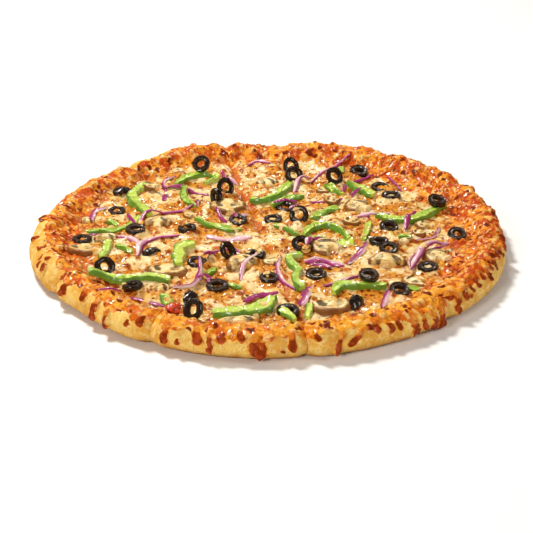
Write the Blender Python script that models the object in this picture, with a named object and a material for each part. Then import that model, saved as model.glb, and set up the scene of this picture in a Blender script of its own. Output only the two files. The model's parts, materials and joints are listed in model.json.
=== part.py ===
"""Whole baked vegetable pizza, cut into ten slices that still keep the round.

Each slice is one solid of crust, sauce and melted cheese. The large toppings are solids of their own
that rest on the slices, and the small ones are fused to the slice they lie on. Metres, +Z up, with the
origin in the middle of the pizza's flat underside and -Y towards the viewer.
"""
import math

import bmesh
import bpy
from mathutils import Matrix, Vector, noise
from mathutils.bvhtree import BVHTree

# Driving dimensions
MM = 0.001
PIZZA_RADIUS = 178.0 * MM
RIM_HALF_WIDTH = 13.0 * MM
RIM_BELLY = 8.5 * MM
RIM_FOOT_DEPTH = 30.0 * MM
BASE_TUCK = 7.4 * MM
CHEESE_LEVEL = 12.6 * MM
CUT_HALF_GAP = 0.45 * MM
CLEARANCE = 0.35 * MM
SINK = 1.3 * MM

# The layout below has an origin of its own, and this moves it to the part's
VIEW_SHIFT = Vector((2.46 * MM, 2.89 * MM, 0.0))

# The crust's uneven outline, counter-clockwise from +X: direction in degrees, then its outer radius and
# the height of the rim there in millimetres, measured from a pole that puts the box's middle at the origin
OUTLINE = (
    (0, 177.5, 21.5), (30, 179.0, 23.2), (60, 179.5, 24.2), (75, 179.0, 23.0), (90, 176.0, 20.0),
    (103, 178.5, 21.5), (116, 179.0, 23.0), (128, 175.0, 21.0), (142, 174.0, 21.0), (160, 175.5, 20.5),
    (190, 179.0, 21.5), (222, 175.0, 21.0), (237, 178.5, 21.5), (262, 180.0, 22.0), (290, 178.3, 21.5),
    (315, 176.5, 21.5), (335, 178.3, 21.5),
)
OUTLINE_POLE = Vector((0.56 * MM, 1.69 * MM, 0.0))

# Cuts are straight and meet off centre, and their directions are uneven
CUT_CENTRE = Vector((-5.0 * MM, -14.0 * MM, 0.0)) + VIEW_SHIFT
CUT_ANGLES = (31, 55, 101, 131, 169, 206, 242, 280, 319, 357)
# For each slice, from the cut in CUT_ANGLES to the next: how far it stands out and up, in millimetres
SLICE_SHIFTS = (
    (0.3, 0.2), (-0.4, -0.3), (0.3, 0.3), (-0.5, 0.2), (0.6, 0.2),
    (-0.3, 0.2), (-0.6, -0.5), (0.5, 0.5), (0.0, 0.0), (0.3, -0.3),
)
# At a cut the crust's end is rounded: how far it draws in and down, over what distance from the cut
END_TUCK = 3.4 * MM
END_DROP = 1.7 * MM
END_REACH = 5.5 * MM
CHEESE_END_DROP = 0.7 * MM

# Bumps of the baked cheese: length and height of the broad and of the fine ones
BROAD_BUMPS = (26.0 * MM, 1.3 * MM)
FINE_BUMPS = (11.0 * MM, 0.7 * MM)

# Grid of one slice: steps from tip to rim foot, over the rim, and the arc length of one step across
INNER_STEPS = 9
SHOULDER_STEPS = 3
RIM_ARC_DEGREES = (90, 66, 43, 20, -4, -30, -58)
STEP_ACROSS = 9.5 * MM
MERGE = 0.02 * MM
FLAT_WITHIN = math.radians(0.3)
SMOOTH_WITHIN = math.radians(40)

# Toppings
OLIVE_RADIUS = 7.3 * MM
OLIVE_HOLE = 4.0 * MM
OLIVE_HEIGHT = 3.9 * MM
OLIVE_FACE_RADIUS = OLIVE_RADIUS * 0.94
OLIVE_SIDES = 11
PEPPER_THICKNESS = 4.4 * MM
ONION_THICKNESS = 2.2 * MM
MUSHROOM_THICKNESS = 4.2 * MM
# Mushroom: stem's half width by the cap's width, the stem's flare at its foot, how far down the gills reach
# at the stem and near the cap's edge by the cap's height, and where along the half width that is
MUSHROOM_STEM_SHARE = 0.17
MUSHROOM_STEM_FLARE = 1.15
MUSHROOM_GILL_DROPS = (0.1, 0.02)
MUSHROOM_GILL_REACH = 0.72
MUSHROOM_CAP_DEGREES = (-12, 14, 40, 66, 90)
STATION_SPACING = 7.5 * MM
CURVE_STEPS = 8
MAX_DRAPE_SLOPE = 0.55
RAISE_STEP = 0.2 * MM
NEAREST_GAP = 0.2 * MM
CUT_MARGIN = 1.4 * MM
TIP_MARGIN = 10.0 * MM
PEPPER_END_WIDTH = 0.6
ONION_END_WIDTH = 0.3
TOMATO_UNEVENNESS = 0.25
TOMATO_TURN = 20
# Part of a strip's width on which it looks for what carries it
SUPPORT_SHARE = 0.45
# Part of a piece's thickness at which its shown middle stands above the cheese
SHOWN_SHARE = {"pepper": 0.6, "onion": 1.0, "mushroom": 0.6, "tomato": 0.4, "tilted olive": 0.8}
# A layout point is where a sight line meets the cheese, so a raised piece lies nearer by this slope
SIGHT_SLOPE = 2.1

# Olives: x, y, tilt from flat, turn of the tilt about Z, in millimetres and degrees
OLIVES = (
    (-58, 128, 48, -25), (-37, 86, 62, 10), (-103, 4, 10, 0), (-64, 7, 2, 60),
    (-26, 22, 8, 0), (18, 112, 50, 30), (51, 110, 46, 25), (72, 122, 12, 10), (95, 70, 3, 0),
    (129, 50, 10, 30), (89, 9, 8, 15), (21, 34, 58, -15), (139, -3, 8, 0),
    (-119, -58, 55, 40), (-97, -92, 10, 200), (-52, -134, 58, -35), (-38, -90, 12, 0), (-54, -54, 3, 0),
    (22, -27, 22, 20), (31, -73, 8, 0), (68, -84, 3, 30), (112, -61, 3, 0), (11, -128, 10, 10),
    (86, -29, 8, 340),
)
SMALL_OLIVES = (
    (-121, 43, 2, 0), (-121, 84, 24, 20), (-142, -9, 2, 30), (16, 138, 60, 20), (11, 51, 2, 0),
    (-88, -29, 12, 40), (-32, -28, 50, 60), (-9, -37, 4, 0), (-4, -74, 2, 0), (56, -107, 60, 60),
)

# Green pepper strips: width, then the points of the middle line, in millimetres
PEPPERS = (
    (7.0, (-77, 94), (-70, 108), (-57, 115), (-48, 113), (-46, 104), (-54, 96)),
    (9.0, (-97, 89), (-106, 85), (-111, 71), (-107, 56), (-99, 42), (-95, 33)),
    (5.0, (-70, 90), (-71, 74), (-66, 58), (-60, 50)),
    (8.0, (-17, 62), (-7, 60), (3, 70), (10, 82), (15, 96)),
    (10.0, (63, 97), (72, 84), (80, 70)),
    (7.0, (81, 32), (92, 25), (107, 24), (121, 35), (136, 54)),
    (6.0, (24, -4), (31, 9), (43, 13), (53, 2), (57, -12)),
    (9.0, (-57, -22), (-67, -26), (-68, -42), (-67, -58)),
    (8.0, (-129, -82), (-118, -79), (-102, -81), (-84, -77), (-72, -81)),
    (11.0, (-40, -132), (-22, -129), (-7, -124), (1, -110)),
    (7.0, (22, -40), (13, -44), (14, -54), (19, -66), (17, -80), (21, -93)),
    (7.5, (43, -100), (48, -90), (62, -91), (80, -91)),
)
SMALL_PEPPERS = (
    (5.0, (-140, 2), (-131, 4), (-122, 6)), (6.0, (-58, 28), (-46, 12), (-33, 5), (-24, 8)),
    (5.0, (44, 95), (46, 88), (49, 80)), (8.0, (31, 29), (40, 42), (52, 50)),
    (7.0, (-122, -14), (-122, -26), (-124, -42)),
    (5.0, (-115, -21), (-103, -33)), (8.0, (-75, -103), (-70, -116)), (5.0, (-46, -70), (-40, -61)),
    (4.5, (-31, -86), (-21, -91)), (5.0, (26, -120), (24, -136)),
    (5.0, (58, 134), (58, 122)),
)

# Red onion slivers, as the peppers
ONIONS = (
    (4.0, (30, 59), (45, 60), (60, 68), (71, 77)),
    (5.5, (99, -67), (105, -50), (115, -33), (131, -25)),
    (5.0, (-49, -46), (-40, -34), (-30, -26), (-23, -34)),
    (3.6, (-52, -56), (-51, -72), (-55, -90), (-69, -95)),
    (3.6, (7, -41), (4, -57), (7, -78), (16, -94)),
    (3.4, (-42, 137), (-40, 122), (-38, 109)),
    (5.0, (-119, -4), (-106, -9), (-97, -22)),
    (4.6, (84, -92), (79, -107), (75, -126)),
)
SMALL_ONIONS = (
    (4.0, (-129, 50), (-138, 40), (-139, 24)), (4.0, (-49, -8), (-34, -13), (-18, -12)),
    (4.5, (-97, -107), (-84, -113), (-73, -119)), (5.0, (27, -51), (36, -53), (43, -58)),
    (3.4, (36, -90), (48, -80), (62, -72)), (3.4, (-20, 138), (-12, 145), (-1, 139)),
)

# Mushroom slices: x, y, cap width, cap height, stem length, turn about Z
MUSHROOMS = (
    (-35, 54, 30, 17, 9, 180), (42, -25, 27, 15, 10, 75), (-87, 17, 22, 12, 8, 0), (69, 50, 24, 12, 8, 60),
    (122, -42, 24, 12, 7, 55),
)
SMALL_MUSHROOMS = (
    (-138, -29, 22, 10, 4, 165), (-76, -68, 18, 8, 2, 20), (102, -78, 20, 10, 6, 120),
    (39, -118, 22, 11, 6, 190), (-3, 100, 18, 10, 6, 20), (-18, -57, 14, 8, 5, 45),
    (84, -52, 26, 12, 5, 0), (118, 15, 15, 9, 5, 70),
)

# One red chunk of tomato, leaning on an olive at the front: x, y, then its three sizes
TOMATO = (-65, -131, 15, 11, 9)

COLOURS = {
    "crust": (0.74, 0.42, 0.13, 1.0), "olive": (0.014, 0.010, 0.010, 1.0),
    "pepper": (0.18, 0.33, 0.03, 1.0), "onion": (0.42, 0.06, 0.19, 1.0),
    "mushroom": (0.66, 0.47, 0.25, 1.0), "tomato": (0.50, 0.04, 0.015, 1.0),
}
ROUGHNESS = {"crust": 0.55, "olive": 0.25, "pepper": 0.3, "onion": 0.3, "mushroom": 0.5, "tomato": 0.3}


def clear_scene():
    """Start from an empty file without closing it."""
    for thing in list(bpy.data.objects):
        bpy.data.objects.remove(thing)


def material(name):
    """Principled material of one topping kind."""
    found = bpy.data.materials.get(name) or bpy.data.materials.new(name)
    found.use_nodes = True
    shader = found.node_tree.nodes["Principled BSDF"]
    shader.inputs["Base Color"].default_value = COLOURS[name]
    shader.inputs["Roughness"].default_value = ROUGHNESS[name]
    shader.inputs["Metallic"].default_value = 0.0
    return found


def add_object(name, bm, kind):
    """Turn a bmesh into an object of the scene, and free the bmesh."""
    bmesh.ops.triangulate(bm, faces=bm.faces[:])
    bmesh.ops.recalc_face_normals(bm, faces=bm.faces[:])
    mesh = bpy.data.meshes.new(name)
    bm.to_mesh(mesh)
    bm.free()
    mesh.materials.append(material(kind))
    mesh.shade_smooth()
    mesh.set_sharp_from_angle(angle=SMOOTH_WITHIN)
    thing = bpy.data.objects.new(name, mesh)
    bpy.context.scene.collection.objects.link(thing)
    return thing


def grid_surface(steps_along, steps_across, point):
    """Grid whose vertices are moved to point(share along, share across)."""
    bm = bmesh.new()
    bmesh.ops.create_grid(bm, x_segments=steps_along, y_segments=steps_across, size=0.5)
    for vertex in bm.verts:
        vertex.co = point(vertex.co.x + 0.5, vertex.co.y + 0.5)
    return bm


# Slices


def outline_at(angle):
    """Outer radius of the crust and height of its rim in one direction, eased between OUTLINE's entries."""
    degrees = math.degrees(angle) % 360
    entries = OUTLINE + ((OUTLINE[0][0] + 360,) + OUTLINE[0][1:],)
    before, after = next(pair for pair in zip(entries, entries[1:]) if pair[0][0] <= degrees <= pair[1][0])
    share = (degrees - before[0]) / (after[0] - before[0])
    ease = 0.5 - 0.5 * math.cos(math.pi * share)
    return tuple((a + (b - a) * ease) * MM for a, b in zip(before[1:], after[1:]))


def reach(start, direction):
    """Distance from a point inside the pizza to its outline, and the height of the rim there."""
    distance = PIZZA_RADIUS
    inside = start - OUTLINE_POLE
    for _ in range(4):
        edge = inside + direction * distance
        radius, rim_top = outline_at(math.atan2(edge.y, edge.x))
        along = inside.dot(direction)
        distance = -along + math.sqrt(along * along - inside.length_squared + radius * radius)
    return distance, rim_top


def cheese_relief(x, y):
    """Low bumps and hollows of the baked cheese."""
    bumps = (BROAD_BUMPS, FINE_BUMPS)
    return sum(height * noise.noise(Vector((x, y, 0)) / length) for length, height in bumps)


def rim_section(depth, rim_top):
    """Height of the slope from the cheese up to the rim's top, by depth from the edge."""
    share = (RIM_FOOT_DEPTH - depth) / (RIM_FOOT_DEPTH - RIM_HALF_WIDTH)
    share = min(max(share, 0.0), 1.0)
    ease = 0.5 - 0.5 * math.cos(math.pi * share)
    return CHEESE_LEVEL + (rim_top - CHEESE_LEVEL) * ease


def slice_stations():
    """Rows of a slice from tip to base: inner share, or depth and height on the rim."""
    rows = [("inner", step / INNER_STEPS) for step in range(INNER_STEPS + 1)]
    for step in range(1, SHOULDER_STEPS + 1):
        depth = RIM_FOOT_DEPTH + (RIM_HALF_WIDTH - RIM_FOOT_DEPTH) * step / (SHOULDER_STEPS + 1)
        rows.append(("shoulder", depth))
    rows += [("arc", math.radians(degrees)) for degrees in RIM_ARC_DEGREES]
    rows.append(("base", BASE_TUCK))
    return rows


def slice_solid(index):
    """One wedge from the cuts' centre to the uneven crust, with flat cut faces and a flat base."""
    first = math.radians(CUT_ANGLES[index])
    last = math.radians(CUT_ANGLES[(index + 1) % len(CUT_ANGLES)])
    width = (last - first) % math.tau
    middle = first + width / 2
    tip = CUT_CENTRE + Vector((math.cos(middle), math.sin(middle), 0)) * CUT_HALF_GAP / math.sin(width / 2)
    out_shift, up_shift = (shift * MM for shift in SLICE_SHIFTS[index])
    rows = slice_stations()
    columns = round(width * PIZZA_RADIUS / STEP_ACROSS)

    def ending(share, distance):
        from_cut = min(share, 1 - share) * width * distance
        return math.exp(-((from_cut / END_REACH) ** 2))

    def edge_and_top(share, direction):
        distance, rim_top = reach(tip, direction)
        end = ending(share, PIZZA_RADIUS)
        return distance + out_shift - END_TUCK * end, rim_top + up_shift - END_DROP * end

    def point(along, across):
        share = 0.5 - 0.5 * math.cos(math.pi * across)
        angle = first + width * share
        direction = Vector((math.cos(angle), math.sin(angle), 0))
        kind, value = rows[round(along * (len(rows) - 1))]
        edge, rim_top = edge_and_top(share, direction)
        if kind == "inner":
            distance = (edge - RIM_FOOT_DEPTH) * value
            height = CHEESE_LEVEL - CHEESE_END_DROP * ending(share, distance)
        elif kind == "shoulder":
            distance = edge - value
            height = rim_section(value, rim_top)
        elif kind == "arc":
            distance = edge - RIM_HALF_WIDTH * (1 - math.cos(value))
            radius = rim_top - RIM_BELLY if value > 0 else RIM_BELLY
            height = RIM_BELLY + radius * math.sin(value)
        else:
            distance = edge - value
            height = 0.0
        place = tip + direction * distance
        if kind != "base":
            fade = max(math.sin(value), 0) if kind == "arc" else 1.0
            place.z = height + cheese_relief(place.x, place.y) * fade
        return place

    bm = grid_surface(len(rows) - 1, columns, point)
    lower = bmesh.ops.extrude_face_region(bm, geom=bm.faces[:], use_keep_orig=True)["geom"]
    for vertex in (part for part in lower if isinstance(part, bmesh.types.BMVert)):
        offset = Vector((vertex.co.x - tip.x, vertex.co.y - tip.y, 0))
        if offset.length > 0:
            direction = offset.normalized()
            turned = (math.atan2(direction.y, direction.x) - middle + math.pi) % math.tau - math.pi
            limit = edge_and_top(0.5 + turned / width, direction)[0] - BASE_TUCK
            offset = direction * min(offset.length, limit)
        vertex.co = Vector((tip.x + offset.x, tip.y + offset.y, 0))
    bmesh.ops.remove_doubles(bm, verts=bm.verts[:], dist=MERGE)
    bmesh.ops.dissolve_limit(bm, angle_limit=FLAT_WITHIN, verts=bm.verts[:], edges=bm.edges[:])
    return bm


# Toppings


def olive_ring(radius=OLIVE_RADIUS, hole=OLIVE_HOLE, height=OLIVE_HEIGHT):
    """Olive slice: a closed ring turned about Z, widest at half its height."""
    half = height / 2
    face = OLIVE_FACE_RADIUS
    section = ((hole, -half), (face, -half), (radius, 0), (face, half), (hole, half))
    bm = bmesh.new()
    corners = [bm.verts.new((x, 0, z)) for x, z in section]
    edges = [bm.edges.new((corners[i - 1], corners[i])) for i in range(len(corners))]
    bmesh.ops.spin(
        bm, geom=corners + edges, cent=(0, 0, 0), axis=(0, 0, 1),
        angle=math.tau, steps=OLIVE_SIDES, use_merge=True,
    )
    return bm


def smooth_path(points, spacing):
    """Evenly spaced stations along a smooth curve through hand-placed points."""
    ends = [points[0] * 2 - points[1]] + list(points) + [points[-1] * 2 - points[-2]]
    fine = []
    for a, b, c, d in zip(ends, ends[1:], ends[2:], ends[3:]):
        for step in range(CURVE_STEPS):
            t = step / CURVE_STEPS
            fine.append(
                (b * 2 + (c - a) * t + (a * 2 - b * 5 + c * 4 - d) * t * t
                 + (b * 3 - a - c * 3 + d) * t * t * t) / 2
            )
    fine.append(points[-1])
    lengths = [0.0]
    for a, b in zip(fine, fine[1:]):
        lengths.append(lengths[-1] + (b - a).length)
    count = max(3, round(lengths[-1] / spacing))
    stations = []
    for step in range(count + 1):
        target = lengths[-1] * step / count
        index = next(i for i in range(1, len(lengths)) if lengths[i] >= target - 1e-9)
        share = (target - lengths[index - 1]) / (lengths[index] - lengths[index - 1])
        stations.append(fine[index - 1].lerp(fine[index], share))
    return stations


def strip(stations, width, thickness, section, end_width):
    """Closed strip along the stations, with a section of (across, up) corners and narrower ends."""
    last = len(stations) - 1

    def point(along, around):
        index = round(along * last)
        ahead = stations[min(index + 1, last)] - stations[max(index - 1, 0)]
        sideways = Vector((-ahead.y, ahead.x, 0)).normalized()
        taper = end_width + (1 - end_width) * math.sin(math.pi * along) ** 0.5
        across, up = section[round(around * len(section)) % len(section)]
        return stations[index] + sideways * across * width * taper + Vector((0, 0, up * thickness))

    bm = grid_surface(last, len(section), point)
    bmesh.ops.remove_doubles(bm, verts=bm.verts[:], dist=MERGE)
    bmesh.ops.holes_fill(bm, edges=bm.edges[:], sides=0)
    return bm


PEPPER_SECTION = ((-0.5, 0.0), (0.5, 0.0), (0.46, 0.75), (0.0, 1.0), (-0.46, 0.75))
ONION_SECTION = ((-0.5, 0.25), (0.0, 0.0), (0.5, 0.25), (0.0, 1.0))


def mushroom_slice(cap_width, cap_height, stem_length):
    """Mushroom cut from top to bottom: a domed cap with curled edges over a short stem."""
    stem = cap_width * MUSHROOM_STEM_SHARE
    half = cap_width / 2
    at_stem, at_edge = (-cap_height * drop for drop in MUSHROOM_GILL_DROPS)
    outline = [(stem * MUSHROOM_STEM_FLARE, -stem_length), (stem, at_stem)]
    outline.append((half * MUSHROOM_GILL_REACH, at_edge))
    for degrees in MUSHROOM_CAP_DEGREES:
        angle = math.radians(degrees)
        outline.append((half * math.cos(angle), cap_height * math.sin(angle)))
    mirrored = [(-x, y) for x, y in reversed(outline[:-1])]
    bm = bmesh.new()
    corners = [bm.verts.new((x, y, 0)) for x, y in outline + mirrored]
    face = bm.faces.new(corners)
    grown = bmesh.ops.extrude_face_region(bm, geom=[face], use_keep_orig=True)["geom"]
    for vertex in (part for part in grown if isinstance(part, bmesh.types.BMVert)):
        vertex.co.z = MUSHROOM_THICKNESS
    return bm


def tomato_chunk(size):
    """Uneven rounded chunk."""
    bm = bmesh.new()
    bmesh.ops.create_icosphere(bm, subdivisions=1, radius=0.5)
    for vertex in bm.verts:
        vertex.co *= 1 + TOMATO_UNEVENNESS * noise.noise(vertex.co * 3)
        vertex.co = Vector(a * b for a, b in zip(vertex.co, size))
    return bm


def layout(x, y, lift):
    """True place of a layout point, for a piece whose top stands this far above the cheese."""
    return Vector((x * MM, y * MM - lift * SIGHT_SLOPE, 0)) + VIEW_SHIFT


# Resting pieces on what lies below them


class Ground:
    """The solids placed so far, as trees that rays and overlap tests can use."""

    def __init__(self):
        self.trees = []

    def add(self, bm):
        self.trees.append(BVHTree.FromBMesh(bm))

    def height(self, place):
        """Highest surface under or over a point, or None outside the pizza."""
        above = Vector((place.x, place.y, 1.0))
        hits = (tree.ray_cast(above, Vector((0, 0, -1)))[0] for tree in self.trees)
        heights = [hit.z for hit in hits if hit]
        return max(heights) if heights else None

    def highest(self, place, spread):
        """Highest surface near a point."""
        heights = [CHEESE_LEVEL]
        for step_x in (-1, 0, 1):
            for step_y in (-1, 0, 1):
                here = self.height(place + Vector((step_x * spread, step_y * spread, 0)))
                if here is not None:
                    heights.append(here)
        return max(heights)

    def is_clear(self, bm):
        """Whether a piece neither crosses nor comes too close to what is placed."""
        own = BVHTree.FromBMesh(bm)
        for tree in self.trees:
            if tree.overlap(own):
                return False
        return all(
            tree.find_nearest(vertex.co, NEAREST_GAP)[0] is None
            for tree in self.trees for vertex in bm.verts
        )

    def raise_until_clear(self, bm):
        """Lift a piece in small steps until it is clear."""
        while not self.is_clear(bm):
            bmesh.ops.translate(bm, verts=bm.verts[:], vec=(0, 0, RAISE_STEP))


def drape(ground, points, width, lift):
    """Stations of a strip that lies over the ground with a limited slope."""
    path = [layout(x, y, lift) for x, y in points]
    stations = smooth_path(path, STATION_SPACING)
    supports = [ground.highest(place, width * SUPPORT_SHARE) for place in stations]
    for index, place in enumerate(stations):
        reachable = (
            supports[other] - MAX_DRAPE_SLOPE * STATION_SPACING * abs(other - index)
            for other in range(len(stations))
        )
        place.z = max(reachable) + CLEARANCE
    return stations


def rest_rigid(ground, bm, place, tilt, turn):
    """Tilt and turn a piece, then set it down on the ground."""
    spin = Matrix.Rotation(math.radians(turn), 4, "Z") @ Matrix.Rotation(math.radians(tilt), 4, "X")
    bmesh.ops.transform(bm, matrix=spin, verts=bm.verts[:])
    bmesh.ops.translate(bm, verts=bm.verts[:], vec=place)
    drops = []
    for vertex in bm.verts:
        below = ground.height(vertex.co)
        if below is not None:
            drops.append(vertex.co.z - below)
    bmesh.ops.translate(bm, verts=bm.verts[:], vec=(0, 0, CLEARANCE - min(drops)))
    ground.raise_until_clear(bm)


def olive_lift(tilt):
    """How far the middle of a tilted olive's shown face stands above the cheese."""
    raised = OLIVE_RADIUS * math.sin(math.radians(tilt)) * SHOWN_SHARE["tilted olive"]
    return OLIVE_HEIGHT / 2 + raised


def make_mushroom(ground, entry):
    x, y, cap_width, cap_height, stem_length, turn = entry
    bm = mushroom_slice(cap_width * MM, cap_height * MM, stem_length * MM)
    rest_rigid(ground, bm, layout(x, y, MUSHROOM_THICKNESS * SHOWN_SHARE["mushroom"]), 0, turn)
    return bm


def make_pepper(ground, entry):
    width = entry[0] * MM
    stations = drape(ground, entry[1:], width, PEPPER_THICKNESS * SHOWN_SHARE["pepper"])
    bm = strip(stations, width, PEPPER_THICKNESS, PEPPER_SECTION, PEPPER_END_WIDTH)
    ground.raise_until_clear(bm)
    return bm


def make_onion(ground, entry):
    width = entry[0] * MM
    stations = drape(ground, entry[1:], width, ONION_THICKNESS * SHOWN_SHARE["onion"])
    bm = strip(stations, width, ONION_THICKNESS, ONION_SECTION, ONION_END_WIDTH)
    ground.raise_until_clear(bm)
    return bm


def make_olive(ground, entry):
    x, y, tilt, turn = entry
    bm = olive_ring()
    rest_rigid(ground, bm, layout(x, y, olive_lift(tilt)), tilt, turn)
    return bm


def make_tomato(ground, entry):
    x, y, *size = entry
    bm = tomato_chunk([side * MM for side in size])
    rest_rigid(ground, bm, layout(x, y, size[2] * MM * SHOWN_SHARE["tomato"]), 0, TOMATO_TURN)
    return bm


def place_toppings(ground):
    """Every topping that is a solid of its own, from the lowest layer to the highest."""
    layers = (
        ("mushroom", make_mushroom, MUSHROOMS), ("tomato", make_tomato, (TOMATO,)),
        ("pepper", make_pepper, PEPPERS), ("olive", make_olive, OLIVES), ("onion", make_onion, ONIONS),
    )
    for kind, make, entries in layers:
        for number, entry in enumerate(entries, 1):
            bm = make(ground, entry)
            ground.add(bm)
            add_object(f"{kind}_{number:02d}", bm, kind)


def slice_under(bm):
    """Number of the slice that holds a whole piece, or None if it crosses a cut."""
    found = set()
    for vertex in bm.verts:
        offset = vertex.co - CUT_CENTRE
        angle = math.degrees(math.atan2(offset.y, offset.x)) % 360
        margin = math.degrees(CUT_MARGIN / max(offset.length, TIP_MARGIN))
        for nudge in (-margin, margin):
            turned = (angle + nudge - CUT_ANGLES[0]) % 360 + CUT_ANGLES[0]
            found.add(sum(1 for cut in CUT_ANGLES if cut <= turned) - 1)
    return found.pop() if len(found) == 1 else None


def fuse_small_toppings(slices, bare, toppings):
    """Sink each small piece into the slice it lies on and join them."""
    kinds = (
        (make_olive, SMALL_OLIVES), (make_mushroom, SMALL_MUSHROOMS),
        (make_pepper, SMALL_PEPPERS), (make_onion, SMALL_ONIONS),
    )
    groups = {}
    placed = Ground()
    placed.trees = list(toppings.trees)
    for make, entry in ((make, entry) for make, entries in kinds for entry in entries):
        bm = make(bare, entry)
        bmesh.ops.translate(bm, verts=bm.verts[:], vec=(0, 0, -SINK))
        index = slice_under(bm)
        if index is None or not placed.is_clear(bm):
            raise ValueError(f"small topping {entry} meets a cut or another solid")
        placed.add(bm)
        piece = add_object(f"small_{len(placed.trees)}", bm, "crust")
        groups.setdefault(index, []).append(piece)
    for index, members in groups.items():
        union(slices[index], members)


def union(body, members):
    """Join pieces to a body with one Boolean on a collection, and remove the pieces."""
    group = bpy.data.collections.new("fused_" + body.name)
    for member in members:
        group.objects.link(member)
    boolean = body.modifiers.new("fuse", "BOOLEAN")
    boolean.operation = "UNION"
    boolean.operand_type = "COLLECTION"
    boolean.collection = group
    boolean.solver = "EXACT"
    fused = bpy.data.meshes.new_from_object(body.evaluated_get(bpy.context.evaluated_depsgraph_get()))
    body.modifiers.clear()
    body.data = fused
    for member in members:
        bpy.data.objects.remove(member)
    bpy.data.collections.remove(group)


def build():
    clear_scene()
    bare = Ground()
    everything = Ground()
    slices = []
    for index in range(len(CUT_ANGLES)):
        bm = slice_solid(index)
        bmesh.ops.triangulate(bm, faces=bm.faces[:])
        bare.add(bm)
        everything.add(bm)
        slices.append(add_object(f"slice_{index + 1:02d}", bm, "crust"))
    place_toppings(everything)
    toppings = Ground()
    toppings.trees = everything.trees[len(slices):]
    fuse_small_toppings(slices, bare, toppings)


build()
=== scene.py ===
# %% [markdown]
# # A baked vegetable pizza
# The imported solids give every slice and every large topping its true place and size. This lesson
# dresses them: the slices get a fine baked surface, and each topping gets its own shape and finish.
# The frame is loaded first, and each solid's box can be read from it. Nothing may grow far past it.

# %% Load the frame
import json
import math

import bmesh
import bpy
import numpy as np
from mathutils import Matrix, Vector, noise
from mathutils.bvhtree import BVHTree

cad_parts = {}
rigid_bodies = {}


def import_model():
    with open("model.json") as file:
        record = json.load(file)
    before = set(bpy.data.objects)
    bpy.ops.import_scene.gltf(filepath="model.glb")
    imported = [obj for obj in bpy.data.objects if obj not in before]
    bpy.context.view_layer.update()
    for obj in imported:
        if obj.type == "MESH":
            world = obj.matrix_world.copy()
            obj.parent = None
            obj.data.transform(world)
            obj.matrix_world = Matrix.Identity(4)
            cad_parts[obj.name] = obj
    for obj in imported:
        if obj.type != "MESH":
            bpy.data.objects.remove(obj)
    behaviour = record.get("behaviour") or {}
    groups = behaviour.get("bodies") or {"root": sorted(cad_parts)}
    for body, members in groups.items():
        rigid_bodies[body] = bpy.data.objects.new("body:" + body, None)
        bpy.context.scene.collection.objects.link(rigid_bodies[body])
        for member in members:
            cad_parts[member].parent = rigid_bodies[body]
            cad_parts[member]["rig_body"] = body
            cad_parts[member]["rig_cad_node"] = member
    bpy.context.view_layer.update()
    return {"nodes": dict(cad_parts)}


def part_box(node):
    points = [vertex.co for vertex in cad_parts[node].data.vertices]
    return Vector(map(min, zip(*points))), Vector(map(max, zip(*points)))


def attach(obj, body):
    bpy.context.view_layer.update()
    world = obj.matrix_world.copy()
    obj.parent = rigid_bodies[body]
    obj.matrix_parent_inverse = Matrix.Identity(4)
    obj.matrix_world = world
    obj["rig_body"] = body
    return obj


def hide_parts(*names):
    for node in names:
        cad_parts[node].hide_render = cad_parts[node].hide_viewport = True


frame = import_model()
nodes = frame["nodes"]
MM = 0.001
# Blender's vector noise starts from the clock, so it gets a seed, and every run gives the same pizza.
noise.seed_set(4)

# %% [markdown]
# ## Camera
# The picture looks down at the pizza at about 25 degrees from a little over a metre away. A longer
# lens from further off would flatten it. The small shift is the picture's own framing.

# %% Camera
VIEW_CENTRE = Vector((2.46 * MM, 2.89 * MM, 0.0))
VIEW_DISTANCE = 1.143
VIEW_ELEVATION = math.radians(25.04)
camera_data = bpy.data.cameras.new("camera")
camera_data.sensor_width = 36.0
camera_data.lens = 101.44
camera_data.shift_x = -0.0096
camera_data.shift_y = -0.0357
camera = bpy.data.objects.new("camera", camera_data)
bpy.context.scene.collection.objects.link(camera)
camera.location = VIEW_CENTRE + Vector((0, -math.cos(VIEW_ELEVATION), math.sin(VIEW_ELEVATION))) * VIEW_DISTANCE
camera.rotation_euler = (math.pi / 2 - VIEW_ELEVATION, 0, 0)
bpy.context.scene.camera = camera
print("camera at", [round(c, 3) for c in camera.location])

# %% [markdown]
# ## Shader helper
# Materials are built from nodes. A tiny class wraps a socket, so shader maths reads like plain
# arithmetic, and one method adds any other node. Colours are written as a painter would pick them,
# in screen values, and turned into the linear values that a renderer needs.


# %% Shader helper
def paint(code):
    """Linear colour from a six-digit screen colour."""
    parts = [int(code[i:i + 2], 16) / 255 for i in (0, 2, 4)]
    return tuple(p / 12.92 if p <= 0.04045 else ((p + 0.055) / 1.055) ** 2.4 for p in parts) + (1.0,)


class Wire:
    """A shader value; Python's operators on it add Math nodes."""

    def __init__(self, recipe, socket):
        self.recipe = recipe
        self.socket = socket

    def maths(self, operation, *values):
        return self.recipe.node("ShaderNodeMath", {"operation": operation}, dict(enumerate(values)))

    def __add__(self, other):
        return self.maths("ADD", self, other)

    __radd__ = __add__

    def __mul__(self, other):
        return self.maths("MULTIPLY", self, other)

    __rmul__ = __mul__

    def __sub__(self, other):
        return self.maths("SUBTRACT", self, other)

    def __rsub__(self, other):
        return self.maths("SUBTRACT", other, self)

    def __abs__(self):
        return self.maths("ABSOLUTE", self)

    def root(self):
        return self.maths("SQRT", self)

    def step(self, low, high):
        """Rises smoothly from 0 at low to 1 at high."""
        return self.recipe.node(
            "ShaderNodeMapRange", {"interpolation_type": "SMOOTHSTEP"}, {0: self, 1: low, 2: high}
        )


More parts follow.
